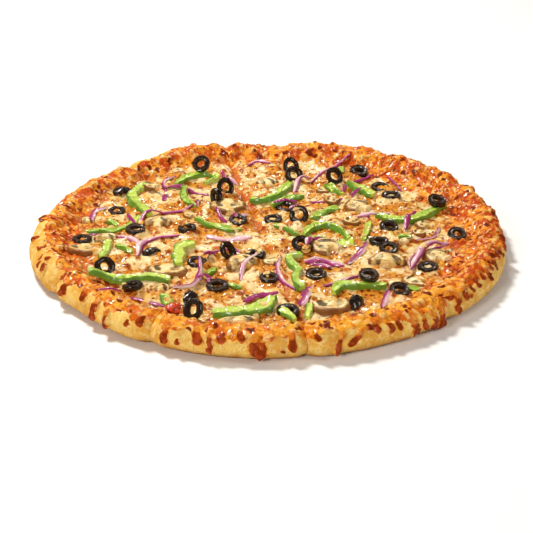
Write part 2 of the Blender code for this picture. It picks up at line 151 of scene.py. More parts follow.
class Recipe:
    """A material and its nodes."""

    def __init__(self, name, **constants):
        self.material = bpy.data.materials.new(name)
        self.material.use_nodes = True
        self.tree = self.material.node_tree
        self.shader = self.tree.nodes["Principled BSDF"]
        self.place = self.node("ShaderNodeTexCoord", {}, {}, "Object")
        for socket, value in constants.items():
            self.shader.inputs[socket.replace("_", " ").title().replace("Ior", "IOR")].default_value = value

    def node(self, kind, settings, values, output=0):
        made = self.tree.nodes.new(kind)
        for setting, value in settings.items():
            setattr(made, setting, value)
        for socket, value in values.items():
            self.join(made.inputs[socket], value)
        return Wire(self, made.outputs[output])

    def join(self, socket, value):
        if isinstance(value, Wire):
            self.tree.links.new(value.socket, socket)
        else:
            socket.default_value = value

    def mask(self, name):
        """A value that the mesh carries at its points."""
        return self.node("ShaderNodeAttribute", {"attribute_name": name}, {}, "Fac")

    def grain(self, size, detail=2.0):
        """Cloudy noise whose lumps are this many millimetres wide, from 0 to 1."""
        values = {"Vector": self.place, "Scale": 1 / MM / size, "Detail": detail}
        return self.node("ShaderNodeTexNoise", {}, values)

    def cells(self, size):
        """Distance to the nearest of strewn points, in cell widths; cells are this many millimetres wide."""
        return self.node("ShaderNodeTexVoronoi", {}, {"Vector": self.place, "Scale": 1 / MM / size})

    def mix(self, factor, below, above):
        """The colour above laid over the one below, as strongly as the factor says."""
        return self.node("ShaderNodeMix", {"data_type": "RGBA"}, {0: factor, 6: below, 7: above}, 2)

    def relief(self, height, depth_mm, strength):
        """Bumps of this depth, for the Normal socket."""
        values = {"Height": height, "Distance": depth_mm * MM, "Strength": strength}
        return self.node("ShaderNodeBump", {}, values)

    def finish(self, **channels):
        """Join what varies over the surface, and give the material."""
        for socket, value in channels.items():
            self.join(self.shader.inputs[socket.replace("_", " ").title()], value)
        return self.material


print("orange in linear values:", [round(part, 3) for part in paint("F0A632")[:3]])

# %% [markdown]
# ## Floor and light
# The pizza stands on a plain pale sheet, as on a photographer's table. Food is lit from behind and
# above by a big soft window, so that oily spots glint, with weaker lights from the front and the side
# for the crust's face, and a small one far back for sharp glints. Area lights do that; a sun lamp
# would give hard shadows.

# %% Floor and light
FLOOR_SIZE = 3.0
SKY_STRENGTH = 0.13
# name, place, size, watts, colour
LIGHTS = (
    ("window", (-0.55, 0.5, 1.25), 0.34, 21, (1.0, 0.98, 0.94)),
    ("front_fill", (-0.7, -1.3, 0.7), 0.5, 11, (1.0, 0.97, 0.93)),
    ("side_fill", (1.3, -0.5, 0.8), 0.6, 7, (1.0, 0.96, 0.9)),
    ("glint", (0.1, 1.1, 0.85), 0.12, 3, (1.0, 0.98, 0.95)),
)


def add_light(name, place, size, watts, colour):
    """A round area light that looks at the pizza."""
    data = bpy.data.lights.new(name, "AREA")
    data.shape = "DISK"
    data.size = size
    data.energy = watts
    data.color = colour
    lamp = bpy.data.objects.new(name, data)
    lamp.location = place
    lamp.rotation_euler = Vector(place).to_track_quat("Z", "Y").to_euler()
    bpy.context.scene.collection.objects.link(lamp)


floor_bm = bmesh.new()
bmesh.ops.create_grid(floor_bm, x_segments=1, y_segments=1, size=FLOOR_SIZE)
floor_mesh = bpy.data.meshes.new("floor")
floor_bm.to_mesh(floor_mesh)
floor_bm.free()
floor = bpy.data.objects.new("floor", floor_mesh)
bpy.context.scene.collection.objects.link(floor)
floor_recipe = Recipe("pale_table", roughness=0.6)
floor_mesh.materials.append(floor_recipe.finish(
    base_color=floor_recipe.mix(floor_recipe.grain(400), paint("F4F3F0"), paint("FAF9F7"))
))

for light in LIGHTS:
    add_light(*light)
world = bpy.context.scene.world or bpy.data.worlds.new("studio")
bpy.context.scene.world = world
world.use_nodes = True
sky = world.node_tree.nodes["Background"]
sky.inputs["Color"].default_value = (1.0, 1.0, 1.0, 1.0)
sky.inputs["Strength"].default_value = SKY_STRENGTH
bpy.context.scene.view_settings.view_transform = "Standard"

# %% [markdown]
# ## The shape of the round
# The crust is hand-stretched, so its outline and the height of its rim wander. A short table of
# directions holds that, eased between its rows. From here to the making of a mesh, numbers are
# millimetres, and numpy works on every point of a slice at once.

# %% The shape of the round
PIZZA_RADIUS = 178.0
RIM_HALF_WIDTH = 13.0
RIM_BELLY = 8.5
RIM_FOOT = 30.0
BASE_TUCK = 7.4
CHEESE_LEVEL = 12.6
CUT_HALF_GAP = 0.16
# the points read off the picture are measured from here
SHIFT = (2.46, 2.89)
# size of the tables of random numbers behind the noise
TABLE_SIZE = 128
# direction in degrees, outer radius, height of the rim
OUTLINE = (
    (0, 177.5, 21.5), (30, 179.0, 23.2), (60, 179.5, 24.2), (75, 179.0, 23.0), (90, 176.0, 20.0),
    (103, 178.5, 21.5), (116, 179.0, 23.0), (128, 175.0, 21.0), (142, 174.0, 21.0), (160, 175.5, 20.5),
    (190, 179.0, 21.5), (222, 175.0, 21.0), (237, 178.5, 21.5), (262, 180.0, 22.0), (290, 178.3, 21.5),
    (315, 176.5, 21.5), (335, 178.3, 21.5),
)
POLE = (0.56, 1.69)
CUT_CENTRE = (-5.0 + SHIFT[0], -14.0 + SHIFT[1])
# directions of the cuts, in degrees
CUTS = (31, 55, 101, 131, 169, 206, 242, 280, 319, 357)
# how far each slice stands out and up
SLICE_SHIFTS = (
    (0.3, 0.2), (-0.4, -0.3), (0.3, 0.3), (-0.5, 0.2), (0.6, 0.2),
    (-0.3, 0.2), (-0.6, -0.5), (0.5, 0.5), (0.0, 0.0), (0.3, -0.3),
)


def around(table, degrees):
    """Values of a table of (direction, value, ...) rows in any directions, eased between its rows."""
    rows = np.array(table + ((table[0][0] + 360,) + tuple(table[0][1:]),), float)
    turned = (degrees - rows[0, 0]) % 360 + rows[0, 0]
    index = np.clip(np.searchsorted(rows[:, 0], turned, side="right") - 1, 0, len(rows) - 2)
    share = (turned - rows[index, 0]) / (rows[index + 1, 0] - rows[index, 0])
    ease = 0.5 - 0.5 * np.cos(np.pi * share)
    return [rows[index, k] + (rows[index + 1, k] - rows[index, k]) * ease for k in range(1, rows.shape[1])]


def reach(start, angle):
    """Distance from a point inside the pizza to its outline, and the height of the rim there."""
    ahead_x, ahead_y = np.cos(angle), np.sin(angle)
    x, y = start[0] - POLE[0], start[1] - POLE[1]
    distance = PIZZA_RADIUS
    for _ in range(4):
        heading = np.degrees(np.arctan2(y + ahead_y * distance, x + ahead_x * distance))
        radius, rim_top = around(OUTLINE, heading)
        along = x * ahead_x + y * ahead_y
        distance = -along + np.sqrt(along ** 2 - x * x - y * y + radius ** 2)
    return distance, rim_top


def ramp(value, low, high):
    """Rises smoothly from 0 at low to 1 at high."""
    share = np.clip((value - low) / (high - low), 0, 1)
    return share * share * (3 - 2 * share)


def clouds(x, y, length, seed):
    """Smooth random relief between about -1 and 1, with lumps of this length."""
    turns = np.random.default_rng(seed).uniform(0, math.tau, (TABLE_SIZE, TABLE_SIZE))
    u, v = x / length, y / length
    column, row = np.floor(u).astype(int), np.floor(v).astype(int)
    total = 0
    for step_u in (0, 1):
        for step_v in (0, 1):
            turn = turns[(column + step_u) % TABLE_SIZE, (row + step_v) % TABLE_SIZE]
            gap_u, gap_v = u - column - step_u, v - row - step_v
            slope = np.cos(turn) * gap_u + np.sin(turn) * gap_v
            total = total + slope * ramp(1 - abs(gap_u), 0, 1) * ramp(1 - abs(gap_v), 0, 1)
    return total * 1.5


def strewn(x, y, length, seed):
    """Distance to the nearest strewn centre, in cell lengths, and that centre's own random number."""
    random = np.random.default_rng(seed).uniform(0, 1, (3, TABLE_SIZE, TABLE_SIZE))
    u, v = x / length, y / length
    column, row = np.floor(u).astype(int), np.floor(v).astype(int)
    nearest = np.full(np.shape(u), 9.0)
    number = np.zeros(np.shape(u))
    for step_u in (-1, 0, 1):
        for step_v in (-1, 0, 1):
            i, j = (column + step_u) % TABLE_SIZE, (row + step_v) % TABLE_SIZE
            away = np.hypot(column + step_u + random[0, i, j] - u, row + step_v + random[1, i, j] - v)
            closer = away < nearest
            nearest = np.where(closer, away, nearest)
            number = np.where(closer, random[2, i, j], number)
    return nearest, number


print("outline:", len(OUTLINE), "directions,", len(CUTS), "cuts")

# %% [markdown]
# ## A map of heights
# Toppings sink into melted cheese, and loose bits lie on whatever is below them. A square grid over
# the table keeps such heights. Rays that drop onto a mesh fill it, and any point can read it back.

# %% A map of heights
CELL = 0.5
HALF = 192.0
# height and width of the broad swells of a slice, and of the smaller ones on them
SWELLS = ((1.3, 26), (0.7, 11))
COARSE_STEP = 4
axis = np.arange(-HALF, HALF + CELL, CELL)


def sample(field, x, y):
    """Value of a grid at any points, between its cells."""
    u = np.clip((x + HALF) / CELL, 0, len(axis) - 1.001)
    v = np.clip((y + HALF) / CELL, 0, len(axis) - 1.001)
    i, j = u.astype(int), v.astype(int)
    a, b = u - i, v - j
    low = field[i, j] * (1 - b) + field[i, j + 1] * b
    high = field[i + 1, j] * (1 - b) + field[i + 1, j + 1] * b
    return low * (1 - a) + high * a


def footprint(tree, low, high, from_below=False):
    """Cells under a mesh and its lowest or highest surface there."""
    first = [max(int((c + HALF) / CELL), 0) for c in (low.x / MM, low.y / MM)]
    last = [min(int((c + HALF) / CELL) + 1, len(axis) - 1) for c in (high.x / MM, high.y / MM)]
    start, way = (-1.0, Vector((0, 0, 1))) if from_below else (1.0, Vector((0, 0, -1)))
    cells, heights = [], []
    for i in range(first[0], last[0] + 1):
        for j in range(first[1], last[1] + 1):
            hit = tree.ray_cast(Vector((axis[i] * MM, axis[j] * MM, start)), way)[0]
            if hit:
                cells.append((i, j))
                heights.append(hit.z / MM)
    cells = np.array(cells, int).reshape(-1, 2)
    return cells[:, 0], cells[:, 1], np.array(heights)


def tree_of(thing):
    """A mesh object, ready for rays."""
    mesh = thing.data
    return BVHTree.FromPolygons([v.co for v in mesh.vertices], [tuple(p.vertices) for p in mesh.polygons])


coarse = axis[::COARSE_STEP]
bumps = np.array([
    [sum(tall * noise.noise(Vector((x / wide, y / wide, 0))) for tall, wide in SWELLS) for y in coarse]
    for x in coarse
])
u = np.clip(np.arange(len(axis)) / COARSE_STEP, 0, len(coarse) - 1.001)
i, part = u.astype(int), u - u.astype(int)
rows = bumps[i] * (1 - part)[:, None] + bumps[i + 1] * part[:, None]
relief = rows[:, i] * (1 - part) + rows[:, i + 1] * part
print("relief from", round(relief.min(), 2), "to", round(relief.max(), 2), "mm")

# %% [markdown]
# ## Cheese that climbs
# Where a topping lies, the melted cheese wells up to meet it and fills an olive's hole. Each imported
# topping is looked at from below. Where it hangs a few millimetres over the cheese or less, the
# cheese is raised to touch it, and a gentle slope runs out from there.

# %% Cheese that climbs
TOUCH_GAP = 3.2
CLIMB_OVERLAP, CLIMB_LIMIT, CLIMB_SLOPE = 0.7, 2.8, 0.24
NEIGHBOURS = ((1, 0), (-1, 0), (0, 1), (0, -1))


def softened(field):
    """A grid with each cell drawn towards its four neighbours."""
    return (field * 2 + sum(np.roll(field, way, (0, 1)) for way in NEIGHBOURS)) / 6


climb = np.zeros_like(relief)
topping_nodes = [name for name in nodes if not name.startswith("slice")]
slice_trees = [tree_of(nodes[name]) for name in nodes if name.startswith("slice")]
for name in topping_nodes:
    low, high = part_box(name)
    cells_i, cells_j, under = footprint(tree_of(nodes[name]), low, high, from_below=True)
    for i, j, height in zip(cells_i, cells_j, under):
        above = Vector((axis[i] * MM, axis[j] * MM, height * MM))
        hits = (tree.ray_cast(above, Vector((0, 0, -1)))[0] for tree in slice_trees)
        below = max((hit.z / MM for hit in hits if hit), default=None)
        if below is not None and height - below < TOUCH_GAP:
            climb[i, j] = max(climb[i, j], min(height - below + CLIMB_OVERLAP, CLIMB_LIMIT))
for _ in range(9):
    grown = climb.copy()
    for way in NEIGHBOURS:
        grown = np.maximum(grown, np.roll(climb, way, (0, 1)) - CLIMB_SLOPE)
    climb = grown
for _ in range(3):
    climb = softened(climb)
print("cheese climbs up to", round(climb.max(), 2), "mm around", len(topping_nodes), "toppings")

# %% [markdown]
# ## Drips and where the cheese ends
# Grated cheese was strewn right up to the rim. It baked orange, ran over the edge and browned in
# drips. One table says how far past the rim's crest the cheese reaches in each direction, another how
# wide the orange band is, and a list places the drips that stand out.

# %% Drips and where the cheese ends
# direction, how far past the crest the baked cheese reaches, how deep the orange band is
COVER = (
    (0, 13, 42), (20, 13, 40), (45, 13, 38), (75, 12, 33), (98, 12, 30), (108, 7, 28), (127, 2, 26),
    (133, -4, 23), (139, 6, 25), (150, 8, 26), (166, 8, 28), (174, 7, 32), (182, 4, 35), (190, 0, 37),
    (204, 2, 33), (211, 6.5, 30), (218, 9, 31), (226, 9.5, 32), (241, 10, 29), (244, 8.5, 24),
    (256, 10.5, 26), (268, 11.5, 27), (279, 11.5, 27), (281, 8, 24), (288, 11, 25), (304, 13, 28),
    (313, 15, 30), (317, 9, 31), (322, 10.5, 34), (335, 10, 38), (350, 12, 42),
)
# direction, its lean in degrees, start and end past the crest, width
DRIPS = (
    (214.8, 0.3, 6, 15.5, 7.5), (227, 0.3, 7, 19.5, 8.5), (231.8, 0.2, 11, 20, 6),
    (237.2, 0, 12.5, 14.5, 4.6), (240.9, 0, 8.5, 11.5, 7), (247, 0.5, 8, 18.5, 6), (250.4, 0, 17, 18, 4),
    (254.6, 0.4, 8, 14, 8.5), (257.4, 0.2, 10, 17, 4.2), (257.5, 0, 18, 20.5, 6), (260, 0, 9.5, 11.5, 8),
    (264, 0.4, 8, 10.5, 6.5), (267.6, 0.4, 11, 18, 13.5), (268.1, 0.4, 15, 22, 7.5),
    (272.8, 0, 19, 19.5, 3.4), (275, 0.3, 9, 17.5, 6), (280.3, 0, 11, 12.5, 5),
    (285.2, -1.5, 11, 21.5, 6.2), (288.9, -2.2, 12, 18.5, 7.5), (293.8, 0.3, 8, 12.5, 6.4),
    (297, 0.6, 8, 14.5, 6.4), (299.4, 0.5, 8, 15, 5), (303.4, 0.4, 12, 22.5, 8), (306, 0.4, 12, 20, 5.6),
    (309, 0.4, 12, 24, 7), (311.6, 0.3, 12, 26, 7.5), (315.2, 2.0, 7.5, 9.5, 5.5), (317.6, 0.4, 8, 21, 5.4),
    (320.6, 0.3, 7, 14, 5.5), (322.6, 0, 14.5, 15.5, 3), (323.8, 0.3, 7, 12.5, 4.6),
    (326.8, 0.3, 3, 12, 5.5), (329.6, 0.3, 5, 10, 4.6), (332.6, 0.2, 7, 13.5, 6), (335, 0.2, 5, 9.5, 4.6),
    (338, 0.2, 4, 12, 6), (341.4, 0.2, 4, 9, 4.6), (345, 0.3, 5, 12.5, 5), (349, 0.2, 6, 14, 5),
    (354, 0.2, 5, 13, 5.6), (198.6, 0.3, 7, 9, 4.6), (200.4, 0, 11, 13.4, 4.6), (204, 0.2, 9.6, 12, 5.4),
    (202, 0, 3.5, 5.5, 4), (195, 0.2, 2, 6, 4.4), (188.4, 0.2, 6, 9, 4.6), (211.4, 0.3, 5.6, 8, 4.6),
    (222.4, 0.2, 7, 12, 6), (176, 0.3, 3, 9, 5.5), (8, 0.3, 6, 16, 6.5), (16, 0.2, 6, 12, 6),
    (23, 0.3, 7, 15, 5.4), (38, 0.3, 6, 17, 7), (47, 0.2, 7, 13, 5.8), (63, 0.3, 6, 16, 7),
    (72, 0.2, 7, 12, 5.4), (84, 0.2, 6, 17, 6), (93, 0.2, 7, 13, 5.8), (112, 0.2, 4, 12, 6.5),
)


LONG_DRIP = 4


def drip_masks(degrees, past):
    """How near each point is to a drip's middle, 1 there and below 0 outside, and how toasted it is."""
    total, toasted = np.full_like(past, -9.0), np.zeros_like(past)
    for direction, lean, start, end, width in DRIPS:
        share = np.clip((past - start) / max(end - start, 0.1), 0, 1)
        middle = np.radians(direction + lean * (share - 0.5))
        turn = (np.radians(degrees) - middle + np.pi) % math.tau - np.pi
        wobble = 1.6 * clouds(degrees * 0.9, past, 4, 31) + 0.4 * clouds(degrees * 2, past, 2, 32)
        aside = np.abs(turn * PIZZA_RADIUS + wobble)
        beyond = np.maximum(np.maximum(start - past, past - end), 0)
        bulb = width * 0.5 * (0.62 + 0.38 * share)
        near = 1 - np.hypot(aside, beyond) / bulb
        closer = near > total
        total = np.where(closer, near, total)
        toasted = np.where(closer, ramp(share, 0.15, 0.7) if end - start > LONG_DRIP else 0.9, toasted)
    return total, toasted


# direction, how toasted the baked cheese is there
TOASTY = (
    (0, 1.0), (40, 0.7), (100, 0.65), (125, 0.8), (145, 0.85), (195, 0.75), (225, 0.5), (245, 0.25),
    (300, 0.15), (320, 0.6), (340, 1.0),
)
print("drips:", len(DRIPS))

# %% [markdown]
# ## The grid of a slice
# A slice starts as a flat grid of small squares. Its rows run from the tip, over the cheese, up the
# rim, round its outside and under it, and its columns fan out from the tip. Numpy moves every point
# of the grid to its place in one go, where a loop over the points would take far longer. At both
# ends of a slice the rim is tucked in and down, which shows the cuts.

# %% The grid of a slice
# width of the grid's squares along the rim
FINE = 0.9
# how open each cut is on the cheese: the knife's last ones closed up again as the cheese cooled
CUT_DEPTHS = (0.5, 0.4, 1.9, 0.4, 0.4, 0.8, 0.8, 1.6, 0.8, 0.4)
END_TUCK, END_DROP, END_REACH = 3.4, 1.7, 5.5
inner_rows = [(share, 0, None) for share in np.linspace(0, 1, 150)]
shoulder_rows = [(None, depth, None) for depth in np.linspace(RIM_FOOT, RIM_HALF_WIDTH, 20)[1:]]
arc_rows = [(None, 0, angle) for angle in np.radians(np.linspace(90, -58, 38))[1:]]
# share of the way over the cheese, depth in from the edge, angle round the rim
ROWS = inner_rows + shoulder_rows + arc_rows + [(None, BASE_TUCK, "base")]


def slice_points(index):
    """Places and masks of one slice's points, as arrays of rows and columns."""
    first, last = math.radians(CUTS[index]), math.radians(CUTS[(index + 1) % len(CUTS)])
    width = (last - first) % math.tau
    middle = first + width / 2
    tip = [c + f(middle) * CUT_HALF_GAP / math.sin(width / 2) for c, f in zip(CUT_CENTRE, (math.cos, math.sin))]
    columns = round(width * PIZZA_RADIUS / FINE)
    across = np.linspace(0, 1, columns + 1)
    share = across * 0.6 + (0.5 - 0.5 * np.cos(np.pi * across)) * 0.4
    out_shift, up_shift = SLICE_SHIFTS[index]
    distance, rim_top = reach(tip, first + width * share)
    end = np.exp(-((np.minimum(share, 1 - share) * width * PIZZA_RADIUS / END_REACH) ** 2))
    edge = distance + out_shift - END_TUCK * end
    rim_top = rim_top + up_shift - END_DROP * end

    away = np.zeros((len(ROWS), columns + 1))
    height = np.zeros_like(away)
    for row, (inner, depth, arc) in enumerate(ROWS):
        if inner is not None:
            away[row] = (edge - RIM_FOOT) * inner
            height[row] = CHEESE_LEVEL
        elif arc is None:
            away[row] = edge - depth
            rise = 0.5 - 0.5 * math.cos(math.pi * (RIM_FOOT - depth) / (RIM_FOOT - RIM_HALF_WIDTH))
            height[row] = CHEESE_LEVEL + (rim_top - CHEESE_LEVEL) * rise
        elif arc == "base":
            away[row] = edge - depth
        else:
            away[row] = edge - RIM_HALF_WIDTH * (1 - math.cos(arc))
            height[row] = RIM_BELLY + (rim_top - RIM_BELLY if arc > 0 else RIM_BELLY) * math.sin(arc)
    return first, width, tip, share, edge, away, height


print("rows of a slice:", len(ROWS))

# %% [markdown]
# ## Relief and masks
# Lumps, blisters and drips are pushed out along the surface's own normal, because relief that only
# went up would smear on the steep rim. The same sums say what is dough, baked cheese, sauce or a
# toasted spot, so colour and shape agree, and the mesh will carry those as masks for the material.

# %% Relief and masks
def shaped_slice(index):
    """Final places in millimetres, and masks, of one slice."""
    first, width, tip, share, edge, away, height = slice_points(index)
    crest = len(inner_rows) + len(shoulder_rows) - 1
    steps = np.hypot(np.diff(away, axis=0), np.diff(height, axis=0))
    past = np.vstack([np.zeros(len(share)), np.cumsum(steps, axis=0)])
    past = past - past[crest]
    # the knife pulled the melted cheese about, so a cut wanders a little
    near = np.clip(away / 25, 0, 1) / np.maximum(away, 6)
    cut_numbers = (index, (index + 1) % len(CUTS))
    waves = [0.8 * near * clouds(away, away * 0 + 7 * k, 14, 40 + k) for k in cut_numbers]
    angle = first + width * share + waves[0] * (1 - share) + waves[1] * share
    x, y = tip[0] + np.cos(angle) * away, tip[1] + np.sin(angle) * away

    slope_out, slope_up = np.gradient(away, axis=0), np.gradient(height, axis=0)
    length = np.maximum(np.hypot(slope_out, slope_up), 1e-6)
    normal_out, normal_up = -slope_up / length, slope_out / length
    top = np.clip(normal_up, 0, 1)
    theta = np.arctan2(y - POLE[1], x - POLE[0])
    degrees = np.degrees(theta) % 360
    depth = edge - away
    from_first, from_last = share * width * away, (1 - share) * width * away
    # the rim is unrolled onto the table for the noise, so its steep face isn't stretched
    unrolled = PIZZA_RADIUS - RIM_HALF_WIDTH + past
    blend = ramp(past, -45, -25)
    flat_x = x + (POLE[0] + np.cos(theta) * unrolled - x) * blend
    flat_y = y + (POLE[1] + np.sin(theta) * unrolled - y) * blend
    drift_x = flat_x + 2.2 * clouds(flat_x, flat_y, 9, 71)
    drift_y = flat_y + 2.2 * clouds(flat_x, flat_y, 9, 72)

    def lumps(size, seed):
        """Noise with lumps of this size; each has its own direction, so that no two line up."""
        across, up = math.cos(seed * 1.3), math.sin(seed * 1.3)
        return clouds(drift_x * across + drift_y * up, drift_y * across - drift_x * up, size, seed)

    def blobs(size, seed, low, high, sharp):
        """Strewn round spots: how deep inside one a point is, and the spot's own number."""
        gap, number = strewn(flat_x + 0.22 * size * lumps(size * 0.5, seed + 1),
                             flat_y + 0.22 * size * lumps(size * 0.5, seed + 2), size, seed)
        radius = low + (high - low) * number
        return np.clip((radius - gap) * sharp, 0, 1), number

    def opened(base, widening):
        """How open the cuts on both sides are, less so further from them."""
        return np.maximum(*(
            cut_depth * np.exp(-((gap / (base + widening * cut_depth)) ** 2))
            for cut_depth, gap in zip((CUT_DEPTHS[k] for k in cut_numbers), (from_first, from_last))
        ))

    reach_mm, band = around(COVER, degrees)
    wander = 4.6 * lumps(11, 3) + 3.0 * lumps(5, 4)
    drips, tip_toast = drip_masks(degrees, past)
    drip = np.clip(drips * 1.6, 0, 1)
    cover = np.clip((reach_mm + wander - past) / 2.4 + 0.5, 0, 1)
    cover = np.maximum(cover, np.clip((drips + 0.14) * 6, 0, 1) * (past > 2))
    toasty = around(TOASTY, degrees)[0] + 0.35 * lumps(22, 29)
    band_wander = 8 * lumps(26, 6) + 6 * lumps(11, 7) + 3 * lumps(5, 8)
    melt = np.clip((depth - band + band_wander) / 5 + 0.5, 0, 1) * (past < 0)
    foot = np.exp(-(((depth - band + 1 + band_wander * 0.4) / 8) ** 2))
    reddest = 0.42 * ramp(np.cos(theta - math.radians(195)), 0.4, 0.9)
    reddest = reddest + 0.2 * ramp(np.cos(theta - math.radians(15)), 0.5, 1)
    sauce = 0.8 * foot + 0.6 * opened(3.6, 1) * ramp(depth, 12, 24)
    sauce = sauce + 0.9 * lumps(19, 9) + 0.6 * lumps(8, 10) - 0.58
    sauce = sauce + reddest * ramp(-depth, -60, -35)
    sauce = np.clip(sauce * 1.6, 0, 1) * (past < -3)
    golden = np.clip(0.6 + 1.2 * lumps(15, 27) + 0.65 * lumps(5.5, 28), 0, 1)
    big, big_number = blobs(11, 13, 0.02, 0.36, 5)
    small, small_number = blobs(6.2, 15, -0.1, 0.36, 5)
    toast = np.maximum(big * ramp(big_number, 0.25, 0.45), 0.75 * small * ramp(small_number, 0.45, 0.6))
    # lumps on the rim; the material also paints a highlight on their tops from this mask
    knob, _ = blobs(6.2, 16, 0.25, 0.62, 3)
    grain_gap, grain_number = strewn(flat_x, flat_y, 3.0, 17)
    grains = np.sqrt(np.clip(1 - (grain_gap * 1.7) ** 2, 0, 1)) * ramp(grain_number, 0.1, 0.5)
    char, char_number = blobs(9.5, 18, -0.05, 0.4, 7)
    char = char * ramp(char_number, 0.2, 0.4)

    baked = (1 - melt) * cover
    creases = np.clip(1 - np.abs(lumps(9, 26)) * 3.2, 0, 1)
    detail = (
        melt * (1.8 * lumps(13, 20) + 0.8 * lumps(5.5, 21) - 0.6 * creases
                + 0.9 * toast + 0.3 * grains * golden)
        + baked * (2.0 * lumps(12, 22) + 0.9 * lumps(5, 23) + 1.1 * knob + 0.3 * grains)
        + (1 - cover) * (0.6 * lumps(20, 24) + 0.3 * lumps(6, 25))
        + 1.5 * np.sqrt(np.clip(drips * 1.4, 0, 1))
        - 0.8 * sauce * melt
    )
    fade = np.where(past > 12, ramp(np.max(past, axis=0) - past, 0, 6), 1.0)
    detail = detail * fade
    end_drop = opened(1.3, 0.4) * ramp(away, 0, 8)
    raised = sample(climb, x, y) * top ** 4 * ramp(-past, 2, 8)
    lift = (sample(relief, x, y) * top + raised - end_drop * top) * fade
    out = normal_out * detail
    x = x + np.cos(angle) * out
    y = y + np.sin(angle) * out
    height = np.maximum(height + normal_up * detail + lift, 0.0)
    height[-1] = 0.0
    masks = {
        "cover": cover, "melt": melt, "drip": drip, "sauce": sauce, "toast": toast, "past": past / 40 + 0.5,
        "golden": golden, "knob": knob * 0.6 + grains * 0.5, "char": char * (past < 14), "tip": tip_toast,
        "toasty": toasty,
    }
    floor_limit = np.minimum(away, edge - BASE_TUCK)
    return x, y, height, masks, (tip, angle, floor_limit)


shapes = [shaped_slice(index) for index in range(len(CUTS))]
print("the slices reach", round(max(shape[2].max() for shape in shapes), 1), "mm up")

# %% [markdown]
# ## The mesh of a slice
# One operator makes the flat grid, and two more close its sides and its underside, so the shell needs
# no lists of faces. Then all its points take their places at once. Points that meet at the tip and
# under the base are merged, and the normals are turned outwards.

# %% The mesh of a slice
def slice_object(index):
    """One slice as a closed mesh with its masks."""
    x, y, height, masks, (tip, angle, floor_limit) = shapes[index]
    rows_count, columns_count = x.shape
    bm = bmesh.new()
    bmesh.ops.create_grid(bm, x_segments=rows_count - 1, y_segments=columns_count - 1, size=0.5)
    upper = len(bm.verts)
    sides = [e for e in bm.edges if e.is_boundary and abs(e.verts[0].co.y - e.verts[1].co.y) < 1e-7]
    bmesh.ops.extrude_edge_only(bm, edges=sides)
    bmesh.ops.holes_fill(bm, edges=[e for e in bm.edges if e.is_boundary], sides=0)
    mesh = bpy.data.meshes.new(f"slice_{index + 1:02d}_baked")
    bm.to_mesh(mesh)
    bm.free()
    flat = np.zeros(len(mesh.vertices) * 3)
    mesh.vertices.foreach_get("co", flat)
    flat = flat.reshape(-1, 3)
    i = np.rint((flat[:, 0] + 0.5) * (rows_count - 1)).astype(int)
    j = np.rint((flat[:, 1] + 0.5) * (columns_count - 1)).astype(int)
    places = np.stack([x[i, j], y[i, j], height[i, j]], axis=1)
    below = np.arange(len(flat)) >= upper
    floor_x, floor_y = tip[0] + np.cos(angle) * floor_limit, tip[1] + np.sin(angle) * floor_limit
    places[below] = np.stack([floor_x[i, j], floor_y[i, j], 0 * height[i, j]], axis=1)[below]
    mesh.vertices.foreach_set("co", (places * MM).ravel())
    for name, values in masks.items():
        attribute = mesh.attributes.new(name, "FLOAT", "POINT")
        attribute.data.foreach_set("value", np.where(below, 0.0, values[i, j]).astype(np.float32))
    mesh.shade_smooth()
    fixer = bmesh.new()
    fixer.from_mesh(mesh)
    bmesh.ops.remove_doubles(fixer, verts=fixer.verts[:], dist=0.01 * MM)
    bmesh.ops.recalc_face_normals(fixer, faces=fixer.faces[:])
    fixer.to_mesh(mesh)
    fixer.free()
    thing = bpy.data.objects.new(mesh.name, mesh)
    bpy.context.scene.collection.objects.link(thing)
    return thing


slices = [slice_object(index) for index in range(len(CUTS))]
print("slices:", sum(len(s.data.polygons) for s in slices), "faces")

# %% [markdown]
# ## Dough and baked cheese
# One material covers every slice, because dough, baked cheese and melted cheese run into each other.
# The dough is pale gold and floury, with a few dark specks. The baked cheese is orange with brown
# blisters, and redder where the oven was hotter; the tops of its raised lumps and grains get a painted
# highlight in pale gold. Each colour is laid over those before it through noise, as a painter would glaze.

# %% Dough and baked cheese
crust = Recipe("crust_and_cheese", coat_roughness=0.12, specular_ior_level=0.04)
fine = crust.grain(1.6, 3.0)
medium = crust.grain(4.2, 3.0)
broad = crust.grain(15, 2.0)
wisp = fine * 0.5 + medium * 0.5 - 0.5

dough = crust.mix(broad.step(0.35, 0.65), paint("EDC468"), paint("DC9E40"))
dough = crust.mix(medium.step(0.48, 0.66) * 0.6, dough, paint("F4D68C"))
dough = crust.mix(fine.step(0.52, 0.68) * 0.5, dough, paint("C4802A"))
dough = crust.mix(crust.mask("past").step(0.9, 1.25) * 0.7, dough, paint("A8661C"))
speck = 1 - crust.cells(5.5).step(0.05, 0.1)
dough = crust.mix(speck * medium.step(0.5, 0.55) * 0.8, dough, paint("5A3A1A"))

toasty = (crust.mask("toasty") + wisp * 0.6).step(0.2, 0.9)
patch = crust.grain(9, 2.0) + wisp * 0.6
calm = crust.mix(patch.step(0.4, 0.62), paint("F0A632"), paint("D46A14"))
hot = crust.mix(patch.step(0.38, 0.6), paint("EE962C"), paint("C04A12"))
baked = crust.mix(toasty, calm, hot)
baked = crust.mix((broad + wisp * 0.9).step(0.48, 0.64) * (0.25 + 0.5 * toasty), baked, paint("B53C0C"))
# painted highlight: pale gold on the tops of the rim's raised lumps and grains, where light would catch them
baked = crust.mix((crust.mask("knob") + wisp * 1.5).step(0.4, 0.85) * 0.75, baked, paint("F6CA78"))
pits = (crust.grain(2.4, 2.0) * 0.7 + broad * 0.3).step(0.53, 0.62)
baked = crust.mix(pits * (0.45 + 0.45 * toasty), baked, paint("A03408"))
charred = crust.mask("char") + wisp * 0.9
baked = crust.mix(charred.step(0.3, 0.55) * 0.9, baked, paint("923206"))
baked = crust.mix(charred.step(0.6, 0.9) * 0.85, baked, paint("641E04"))
print("dough and baked cheese:", len(crust.tree.nodes), "nodes")

